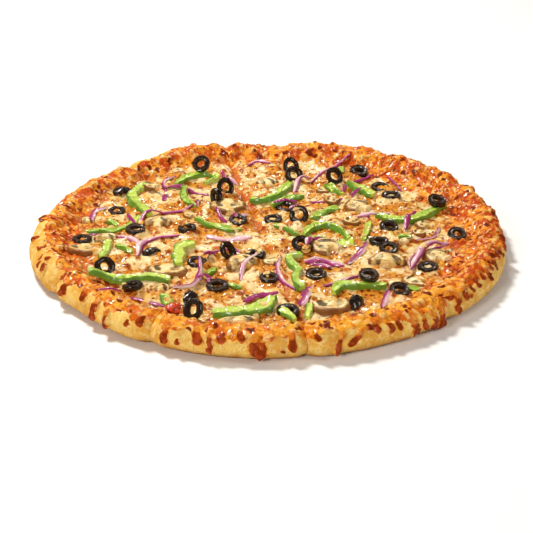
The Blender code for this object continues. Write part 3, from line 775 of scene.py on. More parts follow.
# %% [markdown]
# ## Melted cheese
# Melted cheese is cream where it lies thick and golden where it lies thin, with toasted freckles and
# pools of orange oil. Cells give round freckles, and the same fine noise as before frays their edges.

# %% Melted cheese
cheese = crust.mix((broad * 0.6 + medium * 0.4).step(0.36, 0.66), paint("F2DAA8"), paint("E6B864"))
golden = crust.mask("golden") + wisp * 0.8
cheese = crust.mix(golden.step(0.4, 0.8) * 0.95, cheese, paint("E09C2A"))
browned = (crust.grain(3.0, 3.0) + (golden - 0.6) * 0.35).step(0.5, 0.62)
cheese = crust.mix(browned * 0.5, cheese, paint("B45410"))
spots = 1 - (crust.cells(4.4) + wisp * 0.6).step(0.24, 0.37)
cheese = crust.mix(spots * golden.step(0.2, 0.5) * 0.95, cheese, paint("822C06"))
dots = 1 - (crust.cells(2.6) + wisp * 0.6).step(0.14, 0.34)
cheese = crust.mix(dots * golden.step(0.36, 0.72) * 0.85, cheese, paint("A0440E"))
oil = crust.mix(wisp.step(-0.12, 0.12), paint("D4641E"), paint("A02E0A"))
oil = crust.mix((medium + wisp).step(0.5, 0.62) * 0.6, oil, paint("E39A4A"))
cheese = crust.mix((crust.mask("sauce") + wisp * 1.3).step(0.3, 0.75) * 0.9, cheese, oil)
toasted = crust.mask("toast") + wisp * 0.7
cheese = crust.mix(toasted.step(0.12, 0.5) * 0.85, cheese, paint("CA7222"))
cheese = crust.mix(toasted.step(0.5, 0.85) * 0.9, cheese, paint("8A360A"))
print("with melted cheese:", len(crust.tree.nodes), "nodes")

# %% [markdown]
# ## Crust and cheese together
# The masks say roughly where dough, baked and melted cheese are, and noise breaks their borders up, so
# the edges are crisper than the mesh. Drips lie over the rest, browner at their tips. Cheese is
# smoother than dough, and a clear coat lies only on its oily spots.

# %% Crust and cheese together
cover_edge = (crust.mask("cover") + wisp * 1.0).step(0.42, 0.58)
melt_edge = (crust.mask("melt") + wisp * 1.4).step(0.35, 0.65)
skin = crust.mix(cover_edge, dough, baked)
skin = crust.mix(melt_edge, skin, cheese)
drip_edge = (crust.mask("drip") + wisp * 0.7).step(0.08, 0.35)
tip_edge = drip_edge * (crust.mask("tip") + wisp * 1.6).step(0.1, 0.5)
skin = crust.mix(drip_edge * 0.6, skin, paint("D0741E"))
drip_brown = crust.mix(medium.step(0.45, 0.6), paint("7C2604"), paint("A63E0C"))
skin = crust.mix(tip_edge * 0.95, skin, drip_brown)
oily = (medium + wisp).step(0.42, 0.58)
crust_material = crust.finish(
    base_color=skin,
    roughness=0.62 - 0.2 * melt_edge - 0.16 * cover_edge,
    coat_weight=(melt_edge * 0.5 + cover_edge * 0.45) * oily * (1 - drip_edge * 0.6),
    normal=crust.relief(fine * 0.5 + medium * 0.5, 1.2, 0.8),
)
for number, thing in enumerate(slices, 1):
    thing.data.materials.append(crust_material)
    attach(thing, "root")
    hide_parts(f"slice_{number:02d}")
print("crust nodes:", len(crust.tree.nodes))

# %% [markdown]
# ## The shape of an olive slice
# An olive slice is a ring: a wrinkled skin outside, and a cut face that dips a little towards the
# hole. Spinning a rounded section makes it, and noise squeezes it out of true, because a perfect torus
# looks like a washer.

# %% The shape of an olive slice
OLIVE_RADIUS, OLIVE_HOLE, OLIVE_HEIGHT = 7.4, 3.5, 4.1
# tilt from flat and turn about Z, in degrees, as the solids lie
OLIVE_TILTS = (
    (48, -25), (62, 10), (10, 0), (2, 60), (8, 0), (50, 30), (46, 25), (12, 10), (3, 0), (10, 30), (8, 15),
    (58, -15), (8, 0), (55, 40), (10, 200), (58, -35), (12, 0), (3, 0), (22, 20), (8, 0), (3, 30), (3, 0),
    (10, 10), (8, 340),
)


def clamped(value):
    return min(max(value, 0), 1)


def olive_bmesh(seed, radius=OLIVE_RADIUS, hole=OLIVE_HOLE, height=OLIVE_HEIGHT):
    """A ring turned about Z in metres, slightly squeezed and wrinkled; face marks its cut faces."""
    half = height / 2
    section = (
        (hole, -half * 0.8), (hole + 0.4, -half), (radius - 0.5, -half), (radius - 0.1, -half * 0.75),
        (radius + 0.05, 0), (radius - 0.1, half * 0.75), (radius - 0.5, half), (radius - 1.0, half * 0.92),
        (hole + 0.9, half * 0.78), (hole + 0.4, half * 0.92), (hole + 0.05, half * 0.75), (hole - 0.1, 0),
    )
    bm = bmesh.new()
    corners = [bm.verts.new((x * MM, 0, z * MM)) for x, z in section]
    edges = [bm.edges.new((corners[k - 1], corners[k])) for k in range(len(corners))]
    bmesh.ops.spin(
        bm, geom=corners + edges, cent=(0, 0, 0), axis=(0, 0, 1), angle=math.tau, steps=44, use_merge=True,
    )
    face = bm.verts.layers.float.new("face")
    squeeze = 1 + 0.05 * math.sin(seed * 2.3)
    for vertex in bm.verts:
        x, y, z = (c / MM for c in vertex.co)
        away = math.hypot(x, y)
        flat = clamped((abs(z) - half * 0.6) / (half * 0.25)) * (away < radius - 0.5)
        vertex[face] = max(flat, 1.0 if away < hole + 0.6 else 0.0)
        turn = math.atan2(y, x)
        wrinkle = 0.16 * math.sin(turn * 17 + seed) * max(away - hole, 0) / (radius - hole)
        lobes = noise.noise(Vector((math.cos(turn) * 1.3, math.sin(turn) * 1.3, seed * 3.1)))
        dents = noise.noise(Vector((math.cos(turn) * 4, math.sin(turn) * 4, seed * 7.7 + away / 5)))
        wobble = 0.8 * lobes + 0.4 * dents
        grow = 1 + (wobble + wrinkle * (1 - vertex[face] * 0.8)) / radius
        vertex.co.x = x * grow * squeeze * MM
        vertex.co.y = y * grow / squeeze * MM
        warp = 0.7 * noise.noise(Vector((x, y, z + seed * 9)) / 5)
        vertex.co.z = (z * (1 + 0.16 * math.sin(turn + seed)) + warp) * MM
    bmesh.ops.recalc_face_normals(bm, faces=bm.faces[:])
    return bm


print("olive slice:", OLIVE_RADIUS * 2, "mm across,", OLIVE_HEIGHT, "mm thick")

# %% [markdown]
# ## Olives in place
# The skin is nearly black and very glossy, and the cut face is browner and duller, with fine ridges.
# The gloss is tinted warm, a painted reflection of the orange cheese that an olive mirrors. Each ring is set on
# the centre of its imported solid, turned as the solid is.

# %% Olives in place
SHARP_ANGLE = math.radians(55)
OLIVE_SINK = 0.5


def finished(name, bm, material, replaced=None):
    """A mesh object that rides on the pizza."""
    mesh = bpy.data.meshes.new(name)
    bm.to_mesh(mesh)
    bm.free()
    mesh.materials.append(material)
    mesh.shade_smooth()
    mesh.set_sharp_from_angle(angle=SHARP_ANGLE)
    thing = bpy.data.objects.new(name, mesh)
    bpy.context.scene.collection.objects.link(thing)
    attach(thing, "root")
    if replaced:
        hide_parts(replaced)
    return thing


# painted reflection: a warm tint on the olive's gloss, standing in for the orange cheese around it
WARM_PAINTED_REFLECTION = (1.0, 0.76, 0.56, 1.0)
olive = Recipe("black_olive", coat_roughness=0.06, coat_tint=WARM_PAINTED_REFLECTION, specular_tint=WARM_PAINTED_REFLECTION, specular_ior_level=0.2)
cut_face = olive.mask("face")
ridges = olive.grain(0.9, 3.0)
olive_skin = olive.mix(olive.grain(3.0).step(0.4, 0.7), paint("080402"), paint("160C07"))
olive_flesh = olive.mix(ridges.step(0.45, 0.65), paint("150B05"), paint("3C2210"))
olive_material = olive.finish(
    base_color=olive.mix(cut_face * 0.85, olive_skin, olive_flesh),
    roughness=0.3 + 0.15 * cut_face,
    coat_weight=0.75 - 0.5 * cut_face,
    normal=olive.relief(ridges * 0.4 + olive.grain(2.6) * 0.6, 0.9, 0.9),
)


def set_olive(bm, centre, tilt, turn):
    """Tip an olive about X, turn it about Z and move it to its place."""
    spin = Matrix.Rotation(math.radians(turn), 4, "Z") @ Matrix.Rotation(math.radians(tilt), 4, "X")
    bmesh.ops.transform(bm, matrix=Matrix.Translation(centre) @ spin, verts=bm.verts[:])


for number, (tilt, turn) in enumerate(OLIVE_TILTS, 1):
    low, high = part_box(f"olive_{number:02d}")
    bm = olive_bmesh(number)
    set_olive(bm, (low + high) / 2 - Vector((0, 0, OLIVE_SINK * MM)), tilt, turn)
    finished(f"olive_ring_{number:02d}", bm, olive_material, f"olive_{number:02d}")
print("olives:", len(OLIVE_TILTS))

# %% [markdown]
# ## Where the strips lie
# Pepper and onion are both bent strips. A few listed points give each one's middle line, and a
# smooth curve runs through them. A strip that bridges a hollow sags less than the ground under it, so
# its heights follow the high spots and are then smoothed.

# %% Where the strips lie
# width, then the points of the middle line
PEPPERS = (
    (7.0, (-77, 94), (-70, 108), (-57, 115), (-48, 113), (-46, 104), (-54, 96)),
    (9.0, (-97, 89), (-106, 85), (-111, 71), (-107, 56), (-99, 42), (-95, 33)),
    (5.0, (-70, 90), (-71, 74), (-66, 58), (-60, 50)),
    (8.0, (-17, 62), (-7, 60), (3, 70), (10, 82), (15, 96)),
    (10.0, (63, 97), (72, 84), (80, 70)),
    (7.0, (81, 32), (92, 25), (107, 24), (121, 35), (136, 54)),
    (6.0, (24, -4), (31, 9), (43, 13), (53, 2), (57, -12)),
    (9.0, (-57, -22), (-67, -26), (-68, -42), (-67, -58)),
    (8.0, (-129, -82), (-118, -79), (-102, -81), (-84, -77), (-72, -81)),
    (11.0, (-40, -132), (-22, -129), (-7, -124), (1, -110)),
    (7.0, (22, -40), (13, -44), (14, -54), (19, -66), (17, -80), (21, -93)),
    (7.5, (43, -100), (48, -90), (62, -91), (80, -91)),
)
ONIONS = (
    (4.0, (30, 59), (45, 60), (60, 68), (71, 77)),
    (5.5, (99, -67), (105, -50), (115, -33), (131, -25)),
    (5.0, (-49, -46), (-40, -34), (-30, -26), (-23, -34)),
    (3.6, (-52, -56), (-51, -72), (-55, -90), (-69, -95)),
    (3.6, (7, -41), (4, -57), (7, -78), (16, -94)),
    (3.4, (-42, 137), (-40, 122), (-38, 109)),
    (5.0, (-119, -4), (-106, -9), (-97, -22)),
    (4.6, (84, -92), (79, -107), (75, -126)),
)
# from 0, purple right through, to 1, pale with a purple edge
ONION_TONES = (0.1, 0.7, 0.3, 0.4, 0.5, 0.2, 0.7, 0.5)
PEPPER_THICKNESS, ONION_THICKNESS = 4.4, 2.2
# how far back a thing seems to lie for each millimetre that it stands up
SIGHT_SLOPE = 2.1
PATH_SPACING = 1.2


def layout(x, y, lift):
    """Place on the table of a point read off the picture, for something that stands this high."""
    return np.array((x + SHIFT[0], y - lift * SIGHT_SLOPE + SHIFT[1]))


def smooth_path(points):
    """Evenly spaced places along a smooth curve through the points."""
    p = np.array([points[0] * 2 - points[1]] + list(points) + [points[-1] * 2 - points[-2]])
    fine_points = []
    for a, b, c, d in zip(p, p[1:], p[2:], p[3:]):
        for t in np.linspace(0, 1, 12, endpoint=False):
            bend = (a * 2 - b * 5 + c * 4 - d) * t * t + (b * 3 - a - c * 3 + d) * t ** 3
            fine_points.append((b * 2 + (c - a) * t + bend) / 2)
    fine_points = np.array(fine_points + [p[-2]])
    lengths = np.concatenate([[0], np.cumsum(np.hypot(*np.diff(fine_points, axis=0).T))])
    target = np.linspace(0, lengths[-1], max(4, round(lengths[-1] / PATH_SPACING)) + 1)
    return np.stack([np.interp(target, lengths, fine_points[:, k]) for k in (0, 1)], axis=1)


def settle(heights, reach_steps):
    """Heights along a strip that bridges hollows."""
    count = len(heights)
    high = np.array([heights[max(0, k - reach_steps):k + reach_steps + 1].max() for k in range(count)])
    window = np.ones(2 * reach_steps + 1) / (2 * reach_steps + 1)
    return np.convolve(np.pad(high, reach_steps, mode="edge"), window, mode="valid")


print("middle lines:", len(PEPPERS) + len(ONIONS))

# %% [markdown]
# ## Sweeping a strip
# A section is swept along the middle line, and the ends are closed. A strip of pepper is a slab with
# a groove where its inner wall was, and a sliver of onion is a thin rounded layer. A slow roll and a
# width that swells and shrinks keep either from looking extruded.

# %% Sweeping a strip
# across and up, as shares of the width and the thickness
PEPPER_SECTION = (
    (-0.5, 0.35), (-0.48, 0.04), (-0.3, 0.0), (0.0, 0.1), (0.3, 0.0), (0.48, 0.04), (0.5, 0.35), (0.5, 0.74),
    (0.4, 1.0), (0.14, 0.84), (-0.14, 0.8), (-0.4, 0.98), (-0.5, 0.74),
)
ONION_SECTION = (
    (-0.5, 0.35), (-0.25, 0.08), (0.0, 0.0), (0.25, 0.08), (0.5, 0.35), (0.42, 0.62), (0.22, 0.88), (0.0, 1.0),
    (-0.22, 0.88), (-0.42, 0.62),
)


def strip_bmesh(path, heights, width, thickness, section, end_width, seed, roll=0.3, tone=0.5):
    """A strip along the path, its underside at the heights; its points know their place on it."""
    bm = bmesh.new()
    last = len(path) - 1
    bmesh.ops.create_grid(bm, x_segments=last, y_segments=len(section), size=0.5)
    layers = [bm.verts.layers.float.new(name) for name in ("along", "across", "tone")]
    ahead = np.gradient(path, axis=0)
    ahead /= np.maximum(np.hypot(*ahead.T), 1e-9)[:, None]
    for vertex in bm.verts:
        along = vertex.co.x + 0.5
        k = round(along * last)
        across, up = section[round((vertex.co.y + 0.5) * len(section)) % len(section)]
        taper = end_width + (1 - end_width) * math.sin(math.pi * along) ** 0.5
        swell = 1 + 0.36 * noise.noise(Vector((along * 6, seed * 1.7, 0)))
        turn = roll * noise.noise(Vector((along * 2.2, 0, seed * 2.9))) * 2
        wide, tall = across * width * taper * swell, (up - 0.5) * thickness * (0.75 + 0.25 * taper)
        side = wide * math.cos(turn) - tall * math.sin(turn)
        rise = wide * math.sin(turn) + tall * math.cos(turn)
        aside = Vector((-ahead[k][1], ahead[k][0], 0))
        middle = Vector((path[k][0], path[k][1], heights[k] + thickness * 0.5))
        for layer, value in zip(layers, (along * last * PATH_SPACING, across, tone)):
            vertex[layer] = value
        place = middle + aside * side + Vector((0, 0, rise))
        uneven = noise.noise_vector(place / 4.5 + Vector((seed, 0, 0))) * thickness * 0.2
        vertex.co = (place + uneven) * MM
    bmesh.ops.remove_doubles(bm, verts=bm.verts[:], dist=0.01 * MM)
    bmesh.ops.holes_fill(bm, edges=[e for e in bm.edges if e.is_boundary], sides=0)
    bmesh.ops.recalc_face_normals(bm, faces=bm.faces[:])
    return bm


def node_path(name, entry, lift, thickness):
    """The strip's path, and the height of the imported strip's underside along it."""
    path = smooth_path([layout(x, y, lift) for x, y in entry[1:]])
    tree = tree_of(nodes[name])
    heights = np.full(len(path), np.nan)
    for k, (x, y) in enumerate(path):
        hit = tree.ray_cast(Vector((x * MM, y * MM, 1.0)), Vector((0, 0, -1)))[0]
        if hit:
            heights[k] = hit.z / MM - thickness
    known = np.flatnonzero(~np.isnan(heights))
    heights = np.interp(np.arange(len(path)), known, heights[known])
    return path, settle(heights, 3)


print("points round a section:", len(PEPPER_SECTION), "pepper and", len(ONION_SECTION), "onion")

# %% [markdown]
# ## Pepper and onion finishes
# A strip of pepper has dark green skin on one edge and pale, wet flesh on the other. A sliver of onion
# is purple on one edge and nearly white on the other, with fine streaks along it. The place across the
# strip, which its points carry, tells the two edges apart on every strip, however it bends.

# %% Pepper and onion finishes
pepper = Recipe("green_pepper", roughness=0.28, coat_roughness=0.08, coat_weight=0.6, specular_ior_level=0.3)
pepper_across = pepper.mask("across")
edges = abs(pepper_across).step(0.3, 0.5)
tone = pepper.grain(9.0) * 0.6 + pepper.grain(2.5) * 0.4 + (pepper.mask("tone") - 0.5) * 0.35
skin_side = (pepper_across * -1 + 0.25 * (pepper.grain(5.0) - 0.5)).step(0.24, 0.46)
flesh_side = (pepper_across + 0.2 * (pepper.grain(3.0) - 0.5)).step(0.2, 0.42)
green = pepper.mix(tone.step(0.4, 0.62), paint("9AB836"), paint("C4D650"))
# painted shade: both sides of every strip are darker green than its top, which faces the light
green = pepper.mix(edges * 0.5, green, paint("6A9A20"))
green = pepper.mix(skin_side * 0.85, green, paint("56861C"))
green = pepper.mix(flesh_side * 0.5, green, paint("CEDC78"))
green = pepper.mix((1 - pepper.cells(3.2).step(0.06, 0.13)) * 0.6, green, paint("3F4F18"))
pepper_material = pepper.finish(
    base_color=green,
    roughness=0.25 + 0.15 * edges,
    normal=pepper.relief(pepper.grain(2.4, 3.0), 0.8, 0.9),
)

onion = Recipe("red_onion", roughness=0.3, coat_roughness=0.1, coat_weight=0.3, specular_ior_level=0.25)
onion_across = onion.mask("across")
streak_place = {"X": onion.mask("along") * 0.06, "Y": onion_across * 9}
streak = onion.node("ShaderNodeCombineXYZ", {}, streak_place)
streaks = onion.node("ShaderNodeTexNoise", {}, {"Vector": streak, "Scale": 1.0, "Detail": 2.0})
pale_side = (onion_across + 0.5 * (streaks - 0.5) + (onion.mask("tone") - 0.5) * 0.9).step(-0.25, 0.32)
purple = onion.mix(streaks.step(0.35, 0.65), paint("80144A"), paint("A83272"))
pale = onion.mix(streaks.step(0.4, 0.7), paint("F0D4C8"), paint("D488AC"))
onion_material = onion.finish(
    base_color=onion.mix(pale_side, purple, pale),
    normal=onion.relief(streaks, 0.3, 0.5),
)
print("pepper and onion:", len(pepper.tree.nodes) + len(onion.tree.nodes), "nodes")

# %% [markdown]
# ## Strips in place
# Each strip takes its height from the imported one, so the fine strip lies exactly where the solid is.
# It is pressed a little into the cheese, and made a little wider to make up for the rounding.

# %% Strips in place
PEPPER_SINK, ONION_SINK = 0.5, 0.3
PEPPER_WIDER, ONION_WIDER = 1.06, 1.15
for number, entry in enumerate(PEPPERS, 1):
    name = f"pepper_{number:02d}"
    path, heights = node_path(name, entry, PEPPER_THICKNESS * 0.6, PEPPER_THICKNESS)
    bm = strip_bmesh(
        path, heights - PEPPER_SINK, entry[0] * PEPPER_WIDER, PEPPER_THICKNESS + PEPPER_SINK, PEPPER_SECTION,
        0.6, number, tone=0.3 + 0.6 * (number * 0.37 % 1),
    )
    finished(f"pepper_strip_{number:02d}", bm, pepper_material, name)
for number, entry in enumerate(ONIONS, 1):
    name = f"onion_{number:02d}"
    path, heights = node_path(name, entry, ONION_THICKNESS, ONION_THICKNESS)
    bm = strip_bmesh(
        path, heights - ONION_SINK, entry[0] * ONION_WIDER, ONION_THICKNESS, ONION_SECTION, 0.3, number + 50,
        tone=ONION_TONES[number - 1],
    )
    finished(f"onion_sliver_{number:02d}", bm, onion_material, name)
print("strips:", len(PEPPERS), "pepper and", len(ONIONS), "onion")

# %% [markdown]
# ## The shape of a mushroom slice
# A mushroom was cut from top to bottom, so a slice shows a domed cap over a short stem, with dark
# gills on both sides of it. A grid is pulled to that outline, so it has points inside it for the
# sunken gills and for the warp that baking gives, and its edge is rounded over.

# %% The shape of a mushroom slice
# cap width, cap height, stem length, turn in degrees
MUSHROOMS = (
    (30, 17, 9, 180), (27, 15, 10, 75), (22, 12, 8, 0), (24, 12, 8, 60), (24, 12, 7, 55),
)
MUSHROOM_THICKNESS = 4.2


def mushroom_bmesh(cap_width, cap_height, stem_length, seed, thickness=MUSHROOM_THICKNESS):
    """A slice lying flat in metres, cap towards +Y, with its underside at z = 0."""
    stem, half = cap_width * 0.17, cap_width / 2
    bm = bmesh.new()
    bmesh.ops.create_grid(bm, x_segments=18, y_segments=24, size=0.5)
    for vertex in bm.verts:
        u, v = vertex.co.x * 2, vertex.co.y + 0.5
        if v < 0.38:
            y = -stem_length + (stem_length - cap_height * 0.12) * v / 0.38
            wide = stem * (1.15 - 0.3 * math.sin(math.pi * v / 0.38))
        else:
            lean = math.radians(-9 + 99 * (v - 0.38) / 0.62)
            y, wide = cap_height * math.sin(lean), half * math.cos(lean)
        edge = max(abs(u) ** 7, abs(2 * v - 1) ** 16)
        vertex.co = (u * wide, y, thickness * (1 - 0.4 * edge))
    bmesh.ops.remove_doubles(bm, verts=bm.verts[:], dist=0.05)
    grown = bmesh.ops.extrude_face_region(bm, geom=bm.faces[:], use_keep_orig=True)["geom"]
    for vertex in (part for part in grown if isinstance(part, bmesh.types.BMVert)):
        vertex.co.z = 0
    bmesh.ops.recalc_face_normals(bm, faces=bm.faces[:])
    chart = bm.loops.layers.uv.new("chart")
    for one in bm.faces:
        for loop in one.loops:
            loop[chart].uv = (loop.vert.co.x / half, loop.vert.co.y / cap_height)
    for vertex in bm.verts:
        x, y, z = vertex.co
        out = math.hypot(x / half, y / cap_height)
        beside_stem = clamped((abs(x) / half - 0.24) * 8)
        gill = clamped((0.7 - out) * 8) * beside_stem * (y > -0.2 * cap_height)
        x += 1.2 * noise.noise(Vector((x, y, seed * 5)) / 8)
        y += 1.2 * noise.noise(Vector((x, y, seed * 5 + 40)) / 8)
        dome = 0.035 * cap_width * (1 - min(out, 1) ** 2) * (y > -0.3 * cap_height)
        z += (1.0 * noise.noise(Vector((x, y, seed * 9)) / 9) + dome - 1.0 * gill) * z / thickness
        vertex.co = Vector((x, y, z)) * MM
    return bm


print("mushroom slices:", MUSHROOM_THICKNESS, "mm thick")

# %% [markdown]
# ## Mushrooms in place
# Places on the slice, kept as a UV map, let the material draw the gills and the brown skin where they
# belong. The gills are darker on one side, because the oven browned it first. The slices lie as their
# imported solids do, pressed a little into the cheese.

# %% Mushrooms in place
MUSHROOM_SINK = 0.6
mushroom = Recipe("mushroom", coat_roughness=0.2, coat_weight=0.12, specular_ior_level=0.1)
chart = mushroom.node("ShaderNodeUVMap", {"uv_map": "chart"}, {})
cap_x = mushroom.node("ShaderNodeSeparateXYZ", {}, {0: chart}, 0)
cap_y = mushroom.node("ShaderNodeSeparateXYZ", {}, {0: chart}, 1)
out = (cap_x * cap_x + cap_y * cap_y).root()
wobbly = mushroom.grain(4.0) - 0.5
bent = out + wobbly * 0.25
one_side = (cap_x + wobbly * 2.0).step(-0.6, 0.1) * 0.6 + 0.4
gill = (1 - bent.step(0.62, 0.7)) * bent.step(0.28, 0.42) * (abs(cap_x) + wobbly * 0.2).step(0.16, 0.26)
gill = gill * (cap_y + wobbly * 0.3).step(-0.2, -0.06) * one_side
lines = mushroom.grain(0.9, 2.0)
body = mushroom.mix(mushroom.grain(6).step(0.4, 0.65), paint("F4DAA0"), paint("DCB062"))
body = mushroom.mix((out + wobbly * 0.2).step(0.76, 0.9) * 0.95, body, paint("744214"))
browned = (mushroom.grain(5.0, 3.0) + (out - 0.5) * 0.2).step(0.54, 0.66)
body = mushroom.mix(browned * 0.45, body, paint("A8682A"))
body = mushroom.mix(gill * (0.7 + 0.3 * lines), body, paint("2A1306"))
mushroom_material = mushroom.finish(
    base_color=body,
    roughness=0.45 + 0.2 * gill,
    normal=mushroom.relief(lines * 0.6 + mushroom.grain(2.5) * 0.4, 0.6, 0.7),
)


def turned_flat(bm, turn):
    """Turn a flat piece about Z by this many degrees."""
    matrix = Matrix.Rotation(math.radians(turn), 3, "Z")
    bmesh.ops.rotate(bm, verts=bm.verts[:], cent=(0, 0, 0), matrix=matrix)
    return bm


for number, (cap_width, cap_height, stem_length, turn) in enumerate(MUSHROOMS, 1):
    low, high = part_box(f"mushroom_{number:02d}")
    bm = turned_flat(mushroom_bmesh(cap_width, cap_height, stem_length, number), turn)
    own = [Vector((f(v.co.x for v in bm.verts), f(v.co.y for v in bm.verts), 0)) for f in (min, max)]
    shift = (low + high) / 2 - (own[0] + own[1]) / 2
    bmesh.ops.translate(bm, verts=bm.verts[:], vec=(shift.x, shift.y, low.z - MUSHROOM_SINK * MM))
    finished(f"mushroom_slice_{number:02d}", bm, mushroom_material, f"mushroom_{number:02d}")
print("mushrooms:", len(MUSHROOMS))

# %% [markdown]
# ## Tomato
# The one red chunk is a wedge of cooked tomato. A rounded ball pushed about by noise has the torn,
# wet look, and a strong coat makes it shine.

# %% Tomato
TOMATO_SINK = 0.6
tomato_low, tomato_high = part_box("tomato_01")
bm = bmesh.new()
bmesh.ops.create_icosphere(bm, subdivisions=4, radius=0.5)
for vertex in bm.verts:
    pull = 0.55 * noise.noise(vertex.co * 3.4) + 0.2 * noise.noise(vertex.co * 9 + Vector((5, 0, 0)))
    vertex.co *= 1 + pull
spread = [max(abs(v.co[k]) for v in bm.verts) for k in range(3)]
for vertex in bm.verts:
    for k in range(3):
        middle, size = (tomato_low[k] + tomato_high[k]) / 2, tomato_high[k] - tomato_low[k]
        vertex.co[k] = middle + vertex.co[k] / spread[k] * size / 2 - (TOMATO_SINK * MM if k == 2 else 0)
tomato = Recipe("cooked_tomato", roughness=0.25, coat_roughness=0.08, coat_weight=0.7)
red = tomato.mix(tomato.grain(3.5, 3.0).step(0.38, 0.65), paint("B3220F"), paint("DB4A22"))
tomato_material = tomato.finish(base_color=red, normal=tomato.relief(tomato.grain(1.6), 0.4, 0.6))
finished("tomato_chunk", bm, tomato_material, "tomato_01")
print("tomato:", [round(side / MM, 1) for side in tomato_high - tomato_low], "mm")

# %% [markdown]
# ## What lies where
# The small toppings come last and lie on whatever is there: cheese, rim or a bigger topping. Rays
# dropped on every piece so far give one map of the top, and each new piece is added to it, so the
# next one can lie across it.

# %% What lies where
ground = np.zeros_like(relief)


def lay_on_ground(tree, low, high):
    """Add a piece to the map of heights."""
    i, j, heights = footprint(tree, low, high)
    ground[i, j] = np.maximum(ground[i, j], heights)


def box_of(points):
    """Lowest and highest corner."""
    return [Vector(f(p[k] for p in points) for k in range(3)) for f in (min, max)]


for thing in [o for o in bpy.data.objects if o.get("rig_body") and not o.get("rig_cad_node")]:
    lay_on_ground(tree_of(thing), *box_of([v.co for v in thing.data.vertices]))
print("ground up to", round(ground.max(), 1), "mm")

# %% [markdown]
# ## Where the small toppings lie
# These are the bits between the large toppings: part-buried olives, short ends of pepper, thin
# curls of onion and smaller slices of mushroom. Each is listed by the spot it takes on the picture.

# %% Where the small toppings lie
# x, y, tilt, turn, how deep it is pressed in, whether it is a whole end of an olive
SMALL_OLIVES = (
    (-121, 43, 2, 0, 2.6, False), (-120, 83, 22, 20, 2.0, True), (-142, -9, 2, 30, 2.2, False),
    (16, 138, 60, 20, 1.6, False), (11, 51, 2, 0, 2.7, False), (-88, -29, 12, 40, 2.4, True),
    (-32, -28, 52, 60, 1.6, False), (-12, -37, 4, 0, 1.8, False), (-2, -75, 2, 0, 2.2, False),
    (89, -93, 12, 0, 3.0, False), (58, -105, 55, 60, 1.6, True), (-44, 72, 78, -62, 1.6, False),
    (1, 27, 2, 0, 2.4, False), (80, -14, 2, 0, 1.8, False), (-56, -98, 64, 60, 1.6, True),
    (88, 95, 14, 0, 3.6, False),
)
# width, then the points of the middle line
SMALL_PEPPERS = (
    (5.0, (-140, 2), (-131, 4), (-120, 6), (-110, 9)), (6.0, (-58, 28), (-46, 12), (-33, 5), (-24, 8)),
    (5.0, (44, 95), (46, 88), (49, 80)), (8.0, (31, 29), (40, 42), (52, 50)),
    (7.0, (-122, -14), (-122, -26), (-124, -42)), (5.0, (-115, -21), (-103, -33)),
    (8.0, (-75, -103), (-70, -116)), (5.0, (-46, -70), (-40, -61)), (4.5, (-31, -86), (-21, -91)),
    (5.0, (26, -120), (24, -136)), (5.0, (58, 134), (58, 122)), (5.5, (-102, 31), (-106, 22), (-110, 15)),
    (7.0, (0, 50), (12, 64), (25, 72)), (6.0, (47, 94), (51, 84), (56, 74)),
    (6.0, (2, 12), (10, 10), (20, -2)), (12.0, (49, -18), (61, -17)), (5.0, (68, -12), (72, 4), (75, 20)),
    (5.0, (95, -90), (103, -93)), (6.5, (6, -132), (15, -143)), (4.0, (95, -8), (105, -9)),
    (3.6, (32, -7), (37, -6), (42, -8)), (5.0, (-126, 22), (-118, 17)),
)
# tone, from 0, purple, to 1, pale; width, then the points of the middle line
SMALL_ONIONS = (
    (0.3, 4.0, (-129, 50), (-138, 40), (-139, 24)), (0.3, 4.5, (-97, -107), (-84, -113), (-73, -119)),
    (0.6, 5.0, (27, -51), (36, -53), (43, -58)), (0.5, 3.4, (36, -90), (48, -80), (62, -72)),
    (0.6, 3.4, (-20, 138), (-12, 145), (-1, 139)), (0.4, 3.0, (-80, 115), (-88, 102), (-86, 84)),
    (0.4, 6.0, (-88, 89), (-70, 91)), (0.1, 4.5, (-84, 80), (-85, 60)),
    (0.0, 2.6, (-71, 94), (-61, 80), (-50, 75)), (0.9, 3.4, (-44, 89), (-27, 71)),
    (0.2, 3.0, (-43, 40), (-34, 15)), (0.3, 3.6, (-19, 36), (-27, 33), (-28, 20)),
    (0.6, 4.4, (-102, 13), (-99, 29), (-86, 39), (-72, 42), (-61, 47)), (0.2, 3.0, (-112, 36), (-104, 16)),
    (0.2, 3.0, (-59, 66), (-59, 52)), (0.6, 3.6, (32, 102), (42, 124), (54, 137), (66, 145)),
    (0.1, 3.8, (57, 78), (61, 96), (70, 104), (84, 117)), (0.2, 3.4, (2, 51), (9, 57), (20, 60)),
    (0.8, 3.2, (18, 77), (22, 98), (32, 107)), (0.8, 5.0, (66, 29), (78, 36), (92, 39)),
    (0.1, 3.8, (102, 9), (106, 29), (112, 41)), (0.2, 2.4, (95, 110), (101, 97), (105, 82)),
    (0.5, 3.0, (14, 44), (21, 54)), (0.2, 3.0, (-137, -1), (-128, -1)),
    (0.7, 4.6, (-98, -40), (-97, -22), (-90, -9), (-70, -2)), (1.0, 6.0, (-49, -3), (-34, -8), (-15, -4)),
    (0.2, 4.0, (-52, -83), (-47, -76), (-42, -82), (-45, -92)),
    (0.7, 3.2, (-11, -45), (-20, -62), (-22, -81)), (0.1, 5.0, (-19, -117), (-9, -107), (4, -97)),
    (0.5, 7.0, (24, -50), (36, -48), (52, -56)), (0.4, 4.6, (26, -36), (29, -21), (40, -10)),
    (0.3, 4.4, (71, -15), (66, -32), (55, -53)), (0.3, 5.6, (27, -88), (24, -102), (20, -121)),
    (0.4, 2.8, (99, -66), (101, -47), (110, -31), (128, -22)), (0.5, 3.0, (-119, -112), (-104, -104)),
    (0.2, 2.6, (128, 10), (120, -6), (108, -14)),
)
